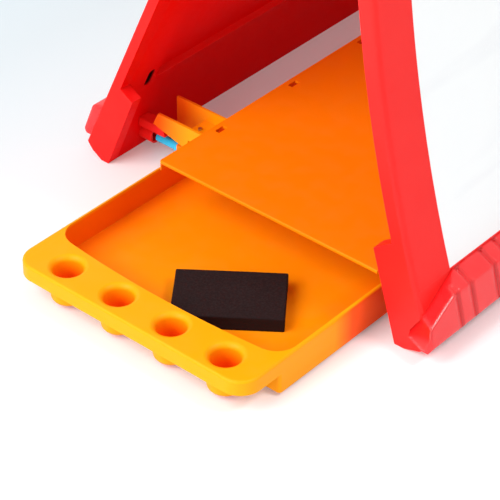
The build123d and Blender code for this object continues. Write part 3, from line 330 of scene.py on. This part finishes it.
# Paints shade and bounce light into the drawer's yellow: floor, walls, cups and the foot's shadow.
def drawer_painted_shade(tree, yellow):
    x, y, z = own_mm(tree)
    middle = sum(TUB_SIDES) / 2
    half = (TUB_SIDES[1] - TUB_SIDES[0]) / 2
    from_middle = math_node(tree, "ABSOLUTE", math_node(tree, "SUBTRACT", x, middle))
    to_side = math_node(tree, "SUBTRACT", half, from_middle)
    share = math_node(tree, "POWER", math_node(tree, "DIVIDE", from_middle, BOW_HALF), 2.0)
    bow = math_node(tree, "MULTIPLY", math_node(tree, "SUBTRACT", 1.0, share, clamp=True), TUB_BOW)
    to_front = math_node(tree, "ADD", math_node(tree, "SUBTRACT", y, TUB_ENDS[0]), bow)
    to_back = math_node(tree, "SUBTRACT", TUB_ENDS[1], y)
    to_wall = math_node(tree, "MINIMUM", to_side, math_node(tree, "MINIMUM", to_front, to_back))
    off_wall = remap(tree, to_wall, 0.0, WALL_SHADE_REACH)
    # The floor is painted orange as shade, redder near the walls as painted bounce.
    floor_shade = mix_colour(tree, off_wall, NEAR_WALL_PAINTED_SHADE, FLOOR_PAINTED_SHADE)
    on_wall = remap(tree, z, TUB_BOTTOM + 0.2, TUB_BOTTOM + 2.5)
    tub_shade = mix_colour(tree, on_wall, floor_shade, WALL_PAINTED_SHADE)
    below_rim = remap(tree, z, TUB_RIM - 0.8, TUB_RIM - 3.0)
    inside = math_node(tree, "MULTIPLY", below_rim, remap(tree, to_wall, -1.6, -0.8))
    toned = mix_colour(tree, inside, yellow, tub_shade)
    along = math_node(tree, "SUBTRACT", x, CUP_FIRST - CUP_PITCH / 2)
    folded = math_node(tree, "FLOORED_MODULO", along, CUP_PITCH)
    off_x = math_node(tree, "SUBTRACT", folded, CUP_PITCH / 2)
    off_y = math_node(tree, "SUBTRACT", y, CUP_LINE)
    square = math_node(
        tree, "ADD", math_node(tree, "POWER", off_x, 2.0), math_node(tree, "POWER", off_y, 2.0)
    )
    near_axis = remap(tree, square, (CUP_REACH + 1.2) ** 2, CUP_REACH**2)
    # Painted shade deepening down each cup.
    cup = math_node(tree, "MULTIPLY", near_axis, remap(tree, z, CUP_TOP, CUP_DEEP))
    cup_shaded = mix_colour(tree, cup, toned, CUP_PAINTED_SHADE)
    # Painted shadow and red bounce of the near foot on the outer side.
    outer_side = remap(tree, x, TUB_SIDES[1] + 1.6, TUB_SIDES[1] + 2.4)
    beside_foot = remap(tree, y, *FOOT_SHADE)
    shaded = math_node(tree, "MULTIPLY", outer_side, beside_foot)
    return mix_colour(tree, shaded, cup_shaded, FOOT_PAINTED_SHADOW)


print("tub between", [round(v, 2) for v in TUB_SIDES + TUB_ENDS], "cups from", round(CUP_FIRST, 2))

# %% [markdown]
# ## The rear board's slots and the tray's arms
# Two slots in the rear board are so deep that no light comes back out of
# them, so painted shade, near black, fills them below the board's face. The
# board's inside face is painted a deeper red, as shade and red bounce between
# the two red boards that face each other there. In the same way the far arm
# of the tray gets painted shade and red bounce towards the rear board, and
# the snap tabs get painted shade in their windows.


# %% Painted shade of the rear board and the tray
SLOT_INSET, SLOT_HALF = 36.0, 4.0  # from the board's ends; half a slot's width
low, high = box_mm("rear_frame")
SLOT_LINES = (low.y + SLOT_INSET, high.y - SLOT_INSET)
SLOT_FOOT, SLOT_HEAD = 54.0, 84.0
LEAN = (0.9102, -0.4142)  # the rear board's normal
FACE_AT, SLOT_DEEP = -157.4, 5.5  # its inner face along that normal
# Painted shade of the inner face, and the slots' near-black painted shade.
INNER_PAINTED_SHADE, SLOT_PAINTED_SHADE = (0.94, 0.003, 0.004, 1.0), (0.012, 0.002, 0.002, 1.0)


# Paints the slots' shade and the inner face's shade and red bounce into the rear board's red.
def rear_board_painted_shade(tree, red):
    x, y, z = own_mm(tree)
    rise = math_node(tree, "MULTIPLY", z, LEAN[1])
    across = math_node(tree, "MULTIPLY_ADD", x, LEAN[0], rise)
    below_face = remap(tree, across, FACE_AT - 0.3, FACE_AT - 1.6)
    bottom = FACE_AT - SLOT_DEEP
    above_back = remap(tree, across, bottom - 1.0, bottom - 0.6)
    sunk = math_node(tree, "MULTIPLY", below_face, above_back)
    near = math_node(tree, "ABSOLUTE", math_node(tree, "SUBTRACT", y, sum(SLOT_LINES) / 2))
    half = (SLOT_LINES[1] - SLOT_LINES[0]) / 2
    beside = math_node(tree, "ABSOLUTE", math_node(tree, "SUBTRACT", near, half))
    in_line = remap(tree, beside, SLOT_HALF, SLOT_HALF - 0.3)
    low = remap(tree, z, SLOT_FOOT, SLOT_FOOT + 2.0)
    high = remap(tree, z, SLOT_HEAD, SLOT_HEAD - 2.0)
    band = math_node(tree, "MULTIPLY", low, high)
    mask = math_node(tree, "MULTIPLY", math_node(tree, "MULTIPLY", sunk, in_line), band)
    normal = add_node(tree, "ShaderNodeNewGeometry").outputs["Normal"]
    facing = add_node(tree, "ShaderNodeSeparateXYZ", {0: normal}).outputs[0]
    shaded_inside = mix_colour(tree, remap(tree, facing, 0.3, 0.7), red, INNER_PAINTED_SHADE)
    return mix_colour(tree, mask, shaded_inside, SLOT_PAINTED_SHADE)


low, high = box_mm("tray_frame")
ARM_REACH = (low.x + 38.4, low.x + 6.4)
TAB_ROOT, TAB_NECK = high.z - 4.2, high.z - 2.2
# Painted shade and red bounce on the far arm, painted shade on the snap tabs.
ARM_PAINTED_SHADE, TAB_PAINTED_SHADE = (0.98, 0.12, 0.002, 1.0), (0.62, 0.03, 0.001, 1.0)


def tray_painted_shade(tree, yellow):
    x, _, z = own_mm(tree)
    far_arm = remap(tree, x, *ARM_REACH)
    toned = mix_colour(tree, far_arm, yellow, ARM_PAINTED_SHADE)
    in_window = remap(tree, z, TAB_ROOT, TAB_NECK)
    return mix_colour(tree, in_window, toned, TAB_PAINTED_SHADE)


# Finishes that get painted shade and bounce light.
painted_shades = {"drawer_plastic": drawer_painted_shade, "rear_red": rear_board_painted_shade, "tray_plastic": tray_painted_shade}
print("deep places", sorted(painted_shades))

# %% [markdown]
# ## The coloured plastics
# All the hard shells are one family: injection-moulded, coloured in the mass,
# with a satin skin. So one recipe makes them all, and each colour gets its own
# numbers. The pen ledges are rounder than their faces, so their normals are
# bent round every edge. The flow only deepens the colour by a few hundredths,
# the edges go paler, and scuffs and dust change the gloss more than the
# colour.


# %% Recipe: moulded plastic
EDGE_WEAR_MM, EDGE_PALENESS = 0.7, 0.5
DUST_COLOUR_SHARE = 0.35


def plastic(
    name,
    colour,
    deep,
    edge,
    rough,
    pebble=0.45,
    bump=0.05,
    coat=0.0,
    dust=0.06,
    shine=0.3,
    soft=0.0,
):
    material = bpy.data.materials.new(name)
    material.use_nodes = True
    tree = material.node_tree
    shader = tree.nodes["Principled BSDF"]
    skin = add_node(tree, "ShaderNodeGroup", node_tree=skin_group)
    skin.inputs["Pebble mm"].default_value = pebble
    worn = add_node(tree, "ShaderNodeGroup", node_tree=edge_group)
    worn.inputs["Width mm"].default_value = EDGE_WEAR_MM
    marks = add_node(tree, "ShaderNodeGroup", node_tree=scuff_group)
    film = add_node(tree, "ShaderNodeGroup", node_tree=dust_group)
    toned = mix_colour(tree, skin.outputs["Flow"], (*colour, 1.0), (*deep, 1.0))
    # Some finishes get painted shade and bounce light in their deep places.
    if name in painted_shades:
        toned = painted_shades[name](tree, toned)
    edge_share = math_node(tree, "MULTIPLY", worn.outputs["Mask"], EDGE_PALENESS)
    edged = mix_colour(tree, edge_share, toned, (*edge, 1.0))
    dust_share = math_node(tree, "MULTIPLY", film.outputs["Mask"], dust * DUST_COLOUR_SHARE)
    dusted = mix_colour(tree, dust_share, edged, PALE_DUST)
    tree.links.new(dusted, shader.inputs["Base Color"])
    gloss = remap(tree, skin.outputs["Mottle"], 0.0, 1.0, rough - 0.02, rough + 0.025)
    scuffed = math_node(tree, "MULTIPLY_ADD", marks.outputs["Mask"], 0.12, gloss)
    polished = math_node(tree, "MULTIPLY_ADD", worn.outputs["Mask"], -0.08, scuffed)
    dulled = math_node(tree, "MULTIPLY_ADD", film.outputs["Mask"], dust, polished, clamp=True)
    tree.links.new(dulled, shader.inputs["Roughness"])
    scratch = math_node(tree, "MULTIPLY_ADD", marks.outputs["Mask"], -0.35, skin.outputs["Height"])
    relief = add_node(
        tree, "ShaderNodeBump", {"Height": scratch, "Strength": 0.6, "Distance": bump * MM}
    )
    if soft:
        rounded = add_node(tree, "ShaderNodeBevel", {"Radius": soft * MM}, samples=8)
        tree.links.new(rounded.outputs[0], relief.inputs["Normal"])
    tree.links.new(relief.outputs[0], shader.inputs["Normal"])
    shader.inputs["IOR"].default_value = 1.5
    shader.inputs["Specular IOR Level"].default_value = shine
    shader.inputs["Coat Weight"].default_value = coat
    shader.inputs["Coat Roughness"].default_value = 0.12
    return material


print("recipe", plastic.__name__)

# %% [markdown]
# ## One set of numbers for each colour
# Each colour has three tones: the plain one, a slightly deeper one where the
# melt flowed slowly, and a paler one for its edges. The reds come in three
# glosses, because the ledge is polished, the board frames are satin, and the
# inside of the rear board gets little light; that inside also gets painted
# shade. The yellow is used three times under its own names, and the drawer
# and the tray get painted shade and bounce light in their deep places. The yellow is used three
# times,
# each time with its own deep places.


# %% The coloured plastics
RED = ((0.92, 0.018, 0.015), (0.90, 0.014, 0.012), (0.98, 0.10, 0.09))
YELLOW = ((0.98, 0.37, 0.002), (0.978, 0.36, 0.002), (1.0, 0.56, 0.05))
finishes = {
    "red_plastic": plastic("red_plastic", *RED, 0.38, shine=0.2),
    "rear_red": plastic("rear_red", *RED, 0.42, shine=0.08),
    "red_gloss": plastic(
        "red_gloss", (0.90, 0.012, 0.014), (0.88, 0.009, 0.012), (0.98, 0.12, 0.11), 0.13,
        pebble=0.9, bump=0.012, dust=0.03, shine=0.6, soft=4.0,
    ),
    # The cover is the drawer's plastic; its deeper orange is painted shade and red bounce from the
    # boards above it.
    "orange_plastic": plastic(
        "orange_plastic", (0.98, 0.245, 0.001), (0.979, 0.241, 0.001), (1.0, 0.40, 0.02), 0.44,
        dust=0.02, shine=0.12,
    ),
    "yellow_plastic": plastic("yellow_plastic", *YELLOW, 0.42, dust=0.02, shine=0.12),
    "drawer_plastic": plastic("drawer_plastic", *YELLOW, 0.42, dust=0.02, shine=0.12),
    "tray_plastic": plastic("tray_plastic", *YELLOW, 0.42, dust=0.02, shine=0.12),
    "blue_plastic": plastic(
        "blue_plastic", (0.03, 0.60, 0.95), (0.02, 0.54, 0.92), (0.25, 0.80, 0.98), 0.20,
        coat=0.4,
    ),
}
FINISH_OF_NODE = {
    "drawer": "drawer_plastic",
    "rear_frame": "rear_red",
    "tray_frame": "tray_plastic",
}
print("plastics", sorted(finishes))

# %% [markdown]
# ## Dry-erase steel
# The boards are thin steel with a baked white enamel, so magnets hold and ink
# wipes off. Enamel is glossy and very slightly wavy, and after some use it
# keeps a grey haze where the eraser went to and fro. The haze is wide, lying
# strokes of noise, faint enough to leave the board white.


# %% Recipe: dry-erase enamel
def enamel():
    material = bpy.data.materials.new("white_enamel")
    material.use_nodes = True
    tree = material.node_tree
    shader = tree.nodes["Principled BSDF"]
    place = add_node(tree, "ShaderNodeTexCoord").outputs["Object"]
    wiped = add_node(
        tree,
        "ShaderNodeMapping",
        {"Vector": place, "Rotation": (0.35, 0.0, 0.0), "Scale": (6.0, 5.0, 26.0)},
    )
    haze = add_node(
        tree,
        "ShaderNodeTexNoise",
        {"Vector": wiped.outputs[0], "Scale": 1.0, "Detail": 5.0, "Distortion": 0.6},
    )
    streak = remap(tree, haze.outputs[0], 0.48, 0.75)
    film = add_node(tree, "ShaderNodeGroup", node_tree=dust_group)
    marks = add_node(tree, "ShaderNodeGroup", node_tree=scuff_group)
    marks.inputs["Length mm"].default_value = 18.0
    grey = math_node(tree, "MULTIPLY", streak, 0.55)
    white = mix_colour(tree, grey, (0.90, 0.925, 0.93, 1.0), (0.80, 0.82, 0.85, 1.0))
    dust_share = math_node(tree, "MULTIPLY", film.outputs["Mask"], 0.06)
    dusted = mix_colour(tree, dust_share, white, (0.72, 0.70, 0.66, 1.0))
    tree.links.new(dusted, shader.inputs["Base Color"])
    rough = remap(tree, streak, 0.0, 1.0, 0.12, 0.26)
    scuffed = math_node(tree, "MULTIPLY_ADD", marks.outputs["Mask"], 0.10, rough, clamp=True)
    tree.links.new(scuffed, shader.inputs["Roughness"])
    wave = add_node(tree, "ShaderNodeTexNoise", {"Vector": place, "Scale": 90.0, "Detail": 2.0})
    relief = add_node(
        tree, "ShaderNodeBump", {"Height": wave.outputs[0], "Strength": 0.25, "Distance": 0.0001}
    )
    tree.links.new(relief.outputs[0], shader.inputs["Normal"])
    shader.inputs["Coat Weight"].default_value = 0.4
    shader.inputs["Coat Roughness"].default_value = 0.06
    return material


finishes["white_steel"] = enamel()
print("enamel", finishes["white_steel"].name)

# %% [markdown]
# ## Steel and rubber
# The hinge pin and the screws are plain steel. Turned or drawn steel shows
# fine lines along the way it was worked, so its noise is stretched hard along
# one axis. The pads under the feet are rubber: dark, dull, dusty at the skin,
# and slightly pitted.


# %% Recipes: steel and rubber
def drawn_steel():
    material = bpy.data.materials.new("drawn_steel")
    material.use_nodes = True
    tree = material.node_tree
    shader = tree.nodes["Principled BSDF"]
    place = add_node(tree, "ShaderNodeTexCoord").outputs["Object"]
    drawn = add_node(
        tree, "ShaderNodeMapping", {"Vector": place, "Scale": (2600.0, 60.0, 2600.0)}
    )
    lines = add_node(
        tree, "ShaderNodeTexNoise", {"Vector": drawn.outputs[0], "Scale": 1.0, "Detail": 3.0}
    )
    worn = add_node(tree, "ShaderNodeGroup", node_tree=edge_group)
    worn.inputs["Width mm"].default_value = 0.3
    dark_steel, pale_steel = (0.50, 0.51, 0.53, 1.0), (0.66, 0.67, 0.69, 1.0)
    tone = mix_colour(tree, remap(tree, lines.outputs[0], 0.3, 0.7), dark_steel, pale_steel)
    bright = mix_colour(tree, worn.outputs["Mask"], tone, (0.82, 0.83, 0.84, 1.0))
    tree.links.new(bright, shader.inputs["Base Color"])
    rough = remap(tree, lines.outputs[0], 0.3, 0.7, 0.24, 0.40)
    tree.links.new(rough, shader.inputs["Roughness"])
    relief = add_node(
        tree, "ShaderNodeBump", {"Height": lines.outputs[0], "Strength": 0.4, "Distance": 0.00003}
    )
    tree.links.new(relief.outputs[0], shader.inputs["Normal"])
    shader.inputs["Metallic"].default_value = 1.0
    return material


def pad_rubber():
    material = bpy.data.materials.new("pad_rubber")
    material.use_nodes = True
    tree = material.node_tree
    shader = tree.nodes["Principled BSDF"]
    skin = add_node(tree, "ShaderNodeGroup", node_tree=skin_group)
    skin.inputs["Pebble mm"].default_value = 0.9
    worn = add_node(tree, "ShaderNodeGroup", node_tree=edge_group)
    new_rubber, dry_rubber = (0.020, 0.020, 0.021, 1.0), (0.040, 0.039, 0.038, 1.0)
    tone = mix_colour(tree, skin.outputs["Mottle"], new_rubber, dry_rubber)
    edge_share = math_node(tree, "MULTIPLY", worn.outputs["Mask"], EDGE_PALENESS)
    pale = mix_colour(tree, edge_share, tone, (0.10, 0.10, 0.095, 1.0))
    tree.links.new(pale, shader.inputs["Base Color"])
    rough = remap(tree, skin.outputs["Flow"], 0.0, 1.0, 0.72, 0.88)
    tree.links.new(rough, shader.inputs["Roughness"])
    relief = add_node(
        tree,
        "ShaderNodeBump",
        {"Height": skin.outputs["Height"], "Strength": 0.7, "Distance": 0.0002},
    )
    tree.links.new(relief.outputs[0], shader.inputs["Normal"])
    return material


finishes["steel"], finishes["black_rubber"] = drawn_steel(), pad_rubber()
print("finishes", len(finishes))

# %% [markdown]
# ## Dressing the hard parts
# Plastic never leaves a mould with a knife edge. Each CAD node keeps its mesh
# and gets modifiers: a weld that joins its faces, a planar dissolve that
# clears the triangles of the flat faces, and a small bevel on what is still
# sharp. The bevel is what catches the light along every edge.


# %% Edges and finishes of the CAD nodes
EDGE_MM = {
    "white_frame": 0.9,
    "rear_frame": 0.9,
    "white_ledge": 0.9,
    "rear_ledge": 0.8,
    "drawer": 0.5,
    "tray_frame": 0.4,
    "tray_cover": 0.35,
    "lock_bolt": 0.3,
    "bolt_keeper": 0.5,
    "tongue_front": 0.6,
    "tongue_rear": 0.6,
    "white_feet": 0.6,
    "rear_feet": 0.6,
    "hinge_pin": 0.3,
    "hinge_caps": 0.5,
    "guide_left": 0.4,
    "guide_right": 0.4,
    "tray_screws": 0.15,
    "guide_screws": 0.15,
}
WELD_GAP = 0.001 * MM
FLAT_WITHIN, SHARP_FROM = math.radians(0.4), math.radians(32)


def soften(node, width_mm):
    weld = node.modifiers.new("join_faces", "WELD")
    weld.merge_threshold = WELD_GAP
    flat = node.modifiers.new("clear_flats", "DECIMATE")
    flat.decimate_type = "DISSOLVE"
    flat.angle_limit = FLAT_WITHIN
    bevel = node.modifiers.new("soft_edge", "BEVEL")
    bevel.width = width_mm * MM
    bevel.segments = 3
    bevel.limit_method = "ANGLE"
    bevel.angle_limit = SHARP_FROM
    bevel.harden_normals = False
    bevel.use_clamp_overlap = True
    even = node.modifiers.new("even_normals", "WEIGHTED_NORMAL")
    even.keep_sharp = False
    even.weight = 60


slot_of = {row["node"]: row["material_slot"] for row in frame["record"]["subparts"]}
for name, node in sorted(nodes.items()):
    finish = FINISH_OF_NODE.get(name, slot_of[name])
    if finish not in finishes:
        continue
    node.data.materials.clear()
    node.data.materials.append(finishes[finish])
    if name in EDGE_MM:
        soften(node, EDGE_MM[name])
print("dressed", len(EDGE_MM), "nodes")

# %% [markdown]
# ## The foam eraser
# It is a block of closed-cell foam, cut from a sheet with a blade. Its faces
# are nearly flat, its cut edges are barely broken and a little wavy, and the
# wiping side is slightly crowned from use. A subdivided block does this well:
# its points are pulled in towards the middle of each side, and a fine noise
# opens the cells. A cloth simulation would round it too much.


# %% Foam block
ERASER_SIZE = Vector((79.8, 53.0, 11.8)) * MM
ERASER_TURN = math.radians(37.3)
ERASER_CELLS = (80, 53, 12)
CUT_EDGE, SIDE_SAG, TOP_SAG = 0.9 * MM, 0.45 * MM, 0.175 * MM
SKIN_LOSS, COARSE_WAVE, FINE_WAVE = 0.12, 0.10, 0.05  # mm taken off the block's skin


def foam_block(size, cells):
    mesh = bmesh.new()
    points = {}

    def corner(i, j, k):
        if (i, j, k) not in points:
            share = Vector((i / cells[0], j / cells[1], k / cells[2])) - Vector((0.5, 0.5, 0.5))
            points[i, j, k] = mesh.verts.new(Vector(s * v for s, v in zip(share, size)))
        return points[i, j, k]

    for axis in range(3):
        a, b = [n for n in range(3) if n != axis]
        for end in (0, cells[axis]):
            for p in range(cells[a]):
                for q in range(cells[b]):
                    ring = []
                    for dp, dq in ((0, 0), (1, 0), (1, 1), (0, 1)):
                        place = [0, 0, 0]
                        place[axis], place[a], place[b] = end, p + dp, q + dq
                        ring.append(corner(*place))
                    mesh.faces.new(ring)
    bmesh.ops.recalc_face_normals(mesh, faces=mesh.faces)
    return mesh


def round_and_crown(point, size):
    half = size / 2
    share = Vector(p / h for p, h in zip(point, half))
    core = Vector(max(-h + CUT_EDGE, min(h - CUT_EDGE, p)) for p, h in zip(point, half))
    away = point - core
    if away.length > CUT_EDGE:
        point = core + away * (CUT_EDGE / away.length)
    pull_x = SIDE_SAG * (1 - share.y**2) * (1 - share.z**2)
    pull_y = SIDE_SAG * (1 - share.x**2) * (1 - share.z**2)
    point.x -= math.copysign(pull_x, share.x) * share.x**8
    point.y -= math.copysign(pull_y, share.y) * share.y**8
    if share.z > 0.5:
        point.z -= TOP_SAG * (share.x**4 + share.y**4)
    return point


print("foam block", ERASER_CELLS, "cells")

# %% [markdown]
# ## Putting the foam in its place
# The block is made around the origin, where its sides are easy to shape. Then
# it is turned, moved to the place that the CAD frame keeps for it, and laid
# on the drawer's floor by its lowest point. It rides the eraser's own body.


# %% Foam eraser
low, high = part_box("eraser")
middle = (low + high) / 2
mesh = foam_block(ERASER_SIZE, ERASER_CELLS)
for vert in mesh.verts:
    moved = round_and_crown(vert.co.copy(), ERASER_SIZE)
    wobble = noise.noise(moved * 70.0) * COARSE_WAVE + noise.noise(moved * 420.0) * FINE_WAVE
    inward = -vert.normal if vert.normal.length else Vector()
    vert.co = moved + inward * (SKIN_LOSS + wobble) * MM
turned = Matrix.Translation(middle) @ Matrix.Rotation(ERASER_TURN, 4, "Z")
bmesh.ops.transform(mesh, matrix=turned, verts=mesh.verts)
lowest = min(v.co.z for v in mesh.verts)
bmesh.ops.translate(mesh, vec=(0, 0, low.z - lowest), verts=mesh.verts)
data = bpy.data.meshes.new("foam_eraser")
mesh.to_mesh(data)
mesh.free()
data.shade_smooth()
foam_eraser = bpy.data.objects.new("foam_eraser", data)
bpy.context.scene.collection.objects.link(foam_eraser)
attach(foam_eraser, "eraser")
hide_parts("eraser")
print("eraser", len(data.vertices), "points")

# %% [markdown]
# ## Foam
# Closed-cell foam is dull, because its skin is all tiny broken bubbles. A
# Voronoi texture at about half a millimetre gives the cells, a finer noise
# roughens them, and a little pale lint sits on top, as on any used eraser.


# %% Recipe: cut foam
def cut_foam():
    material = bpy.data.materials.new("eraser_foam")
    material.use_nodes = True
    tree = material.node_tree
    shader = tree.nodes["Principled BSDF"]
    place = add_node(tree, "ShaderNodeTexCoord").outputs["Object"]
    cells = add_node(tree, "ShaderNodeTexVoronoi", {"Vector": place, "Scale": 1500.0})
    grain = add_node(tree, "ShaderNodeTexNoise", {"Vector": place, "Scale": 2600.0, "Detail": 4.0})
    patch = add_node(tree, "ShaderNodeTexNoise", {"Vector": place, "Scale": 45.0, "Detail": 5.0})
    cell_dark, cell_pale = (0.009, 0.0035, 0.0035, 1.0), (0.016, 0.0065, 0.0065, 1.0)
    tone = mix_colour(tree, remap(tree, grain.outputs[0], 0.35, 0.7), cell_dark, cell_pale)
    toned = mix_colour(
        tree, remap(tree, patch.outputs[0], 0.45, 0.7, 0.0, 0.45), tone, (0.020, 0.009, 0.009, 1.0)
    )
    film = add_node(tree, "ShaderNodeGroup", node_tree=dust_group)
    film.inputs["Clump mm"].default_value = 1.6
    lint_share = math_node(tree, "MULTIPLY", film.outputs["Mask"], 0.015)
    linted = mix_colour(tree, lint_share, toned, (0.40, 0.37, 0.36, 1.0))
    tree.links.new(linted, shader.inputs["Base Color"])
    tree.links.new(remap(tree, patch.outputs[0], 0.3, 0.7, 0.78, 0.92), shader.inputs["Roughness"])
    pits = math_node(tree, "MULTIPLY_ADD", grain.outputs[0], 0.5, cells.outputs["Distance"])
    relief = add_node(
        tree, "ShaderNodeBump", {"Height": pits, "Strength": 0.5, "Distance": 0.00014}
    )
    tree.links.new(relief.outputs[0], shader.inputs["Normal"])
    shader.inputs["Specular IOR Level"].default_value = 0.15
    return material


foam_eraser.data.materials.append(cut_foam())
print("foam ready")

# %% [markdown]
# ## The studio
# The easel stands on a white sheet whose far side is painted a darker, cooler shade.
# The sheet keeps the soft shadows and the coloured light that the plastic
# throws on it. Only what the camera sees directly is lifted to white, by a
# faint glow that no other ray meets, so no more light falls on the object.


# %% Floor
# The far side of the floor gets a darker, cooler painted shade between these x places.
FAR_SHADE_FROM_TO, FAR_PAINTED_SHADE = (-0.02, -0.50), (0.53, 0.63, 0.68, 1.0)
PAPER_LIFT = 0.13


def white_floor():
    material = bpy.data.materials.new("white_floor")
    material.use_nodes = True
    tree = material.node_tree
    shader = tree.nodes["Principled BSDF"]
    out = tree.nodes["Material Output"]
    place = add_node(tree, "ShaderNodeTexCoord").outputs["Object"]
    wide = add_node(tree, "ShaderNodeTexNoise", {"Vector": place, "Scale": 3.0, "Detail": 2.0})
    paper = mix_colour(
        tree, wide.outputs[0], (0.88, 0.89, 0.895, 1.0), (0.90, 0.905, 0.91, 1.0)
    )
    far_side = add_node(tree, "ShaderNodeSeparateXYZ", {0: place}).outputs[0]
    far_shade = remap(tree, far_side, *FAR_SHADE_FROM_TO)
    tinted = mix_colour(tree, far_shade, paper, FAR_PAINTED_SHADE)
    tree.links.new(tinted, shader.inputs["Base Color"])
    shader.inputs["Roughness"].default_value = 0.7
    glow = add_node(
        tree, "ShaderNodeEmission", {"Color": (0.97, 0.99, 1.0, 1.0), "Strength": PAPER_LIFT}
    )
    seen = add_node(tree, "ShaderNodeLightPath").outputs["Is Camera Ray"]
    dark = add_node(tree, "ShaderNodeEmission", {"Strength": 0.0})
    lift = add_node(tree, "ShaderNodeMixShader")
    tree.links.new(seen, lift.inputs[0])
    tree.links.new(dark.outputs[0], lift.inputs[1])
    tree.links.new(glow.outputs[0], lift.inputs[2])
    both = add_node(tree, "ShaderNodeAddShader")
    tree.links.new(shader.outputs[0], both.inputs[0])
    tree.links.new(lift.outputs[0], both.inputs[1])
    tree.links.new(both.outputs[0], out.inputs["Surface"])
    return material


FLOOR_HALF = 5.0
floor_data = bpy.data.meshes.new("floor")
floor_data.from_pydata(
    [(x * FLOOR_HALF, y * FLOOR_HALF, 0) for x, y in ((-1, -1), (1, -1), (1, 1), (-1, 1))],
    [],
    [(0, 1, 2, 3)],
)
floor = bpy.data.objects.new("floor", floor_data)
bpy.context.scene.collection.objects.link(floor)
floor.data.materials.append(white_floor())
print("floor", 2 * FLOOR_HALF, "m")

# %% [markdown]
# ## Light
# A sky of even white light fills every shadow, and mirrors see it brighter
# than it shines, so gloss stays white. Three soft lamps stand under it: a
# large one in front, a smaller one to the side that draws the bright lines
# along the pen ledge, and a low one that reaches in between the boards.


# %% Sky and lamps
SKY_LIGHT = 0.50
world = bpy.data.worlds.new("studio_sky")
bpy.context.scene.world = world
world.use_nodes = True
tree = world.node_tree
tree.nodes.clear()
rays = add_node(tree, "ShaderNodeLightPath")
seen = math_node(tree, "MAXIMUM", rays.outputs["Is Camera Ray"], rays.outputs["Is Glossy Ray"])
seen = math_node(tree, "MAXIMUM", seen, rays.outputs["Is Transmission Ray"])
strength = remap(tree, seen, 0.0, 1.0, SKY_LIGHT, 1.0)
sky = add_node(tree, "ShaderNodeBackground", {"Color": (1, 1, 1, 1), "Strength": strength})
out = add_node(tree, "ShaderNodeOutputWorld")
tree.links.new(sky.outputs[0], out.inputs[0])


def soft_lamp(name, place, aim, size, watts):
    data = bpy.data.lights.new(name, "AREA")
    data.shape = "SQUARE"
    data.size = size
    data.energy = watts
    lamp = bpy.data.objects.new(name, data)
    lamp.location = place
    turn = (Vector(aim) - Vector(place)).to_track_quat("-Z", "Y")
    lamp.rotation_euler = turn.to_euler()
    bpy.context.scene.collection.objects.link(lamp)
    return lamp


LAMPS = (  # name, place and aim in metres, size in metres, power in watts
    ("front_softbox", (-0.55, -1.75, 1.75), (0.0, -0.1, 0.05), 1.5, 44.0),
    ("side_lamp", (1.30, 0.19, 1.85), (0.0, 0.0, 0.05), 0.45, 17.0),
    ("low_front_fill", (0.05, -2.10, 0.65), (0.0, 0.0, 0.10), 1.2, 15.0),
)
for lamp_facts in LAMPS:
    soft_lamp(*lamp_facts)
print("sky", SKY_LIGHT, "lamps", [facts[0] for facts in LAMPS])
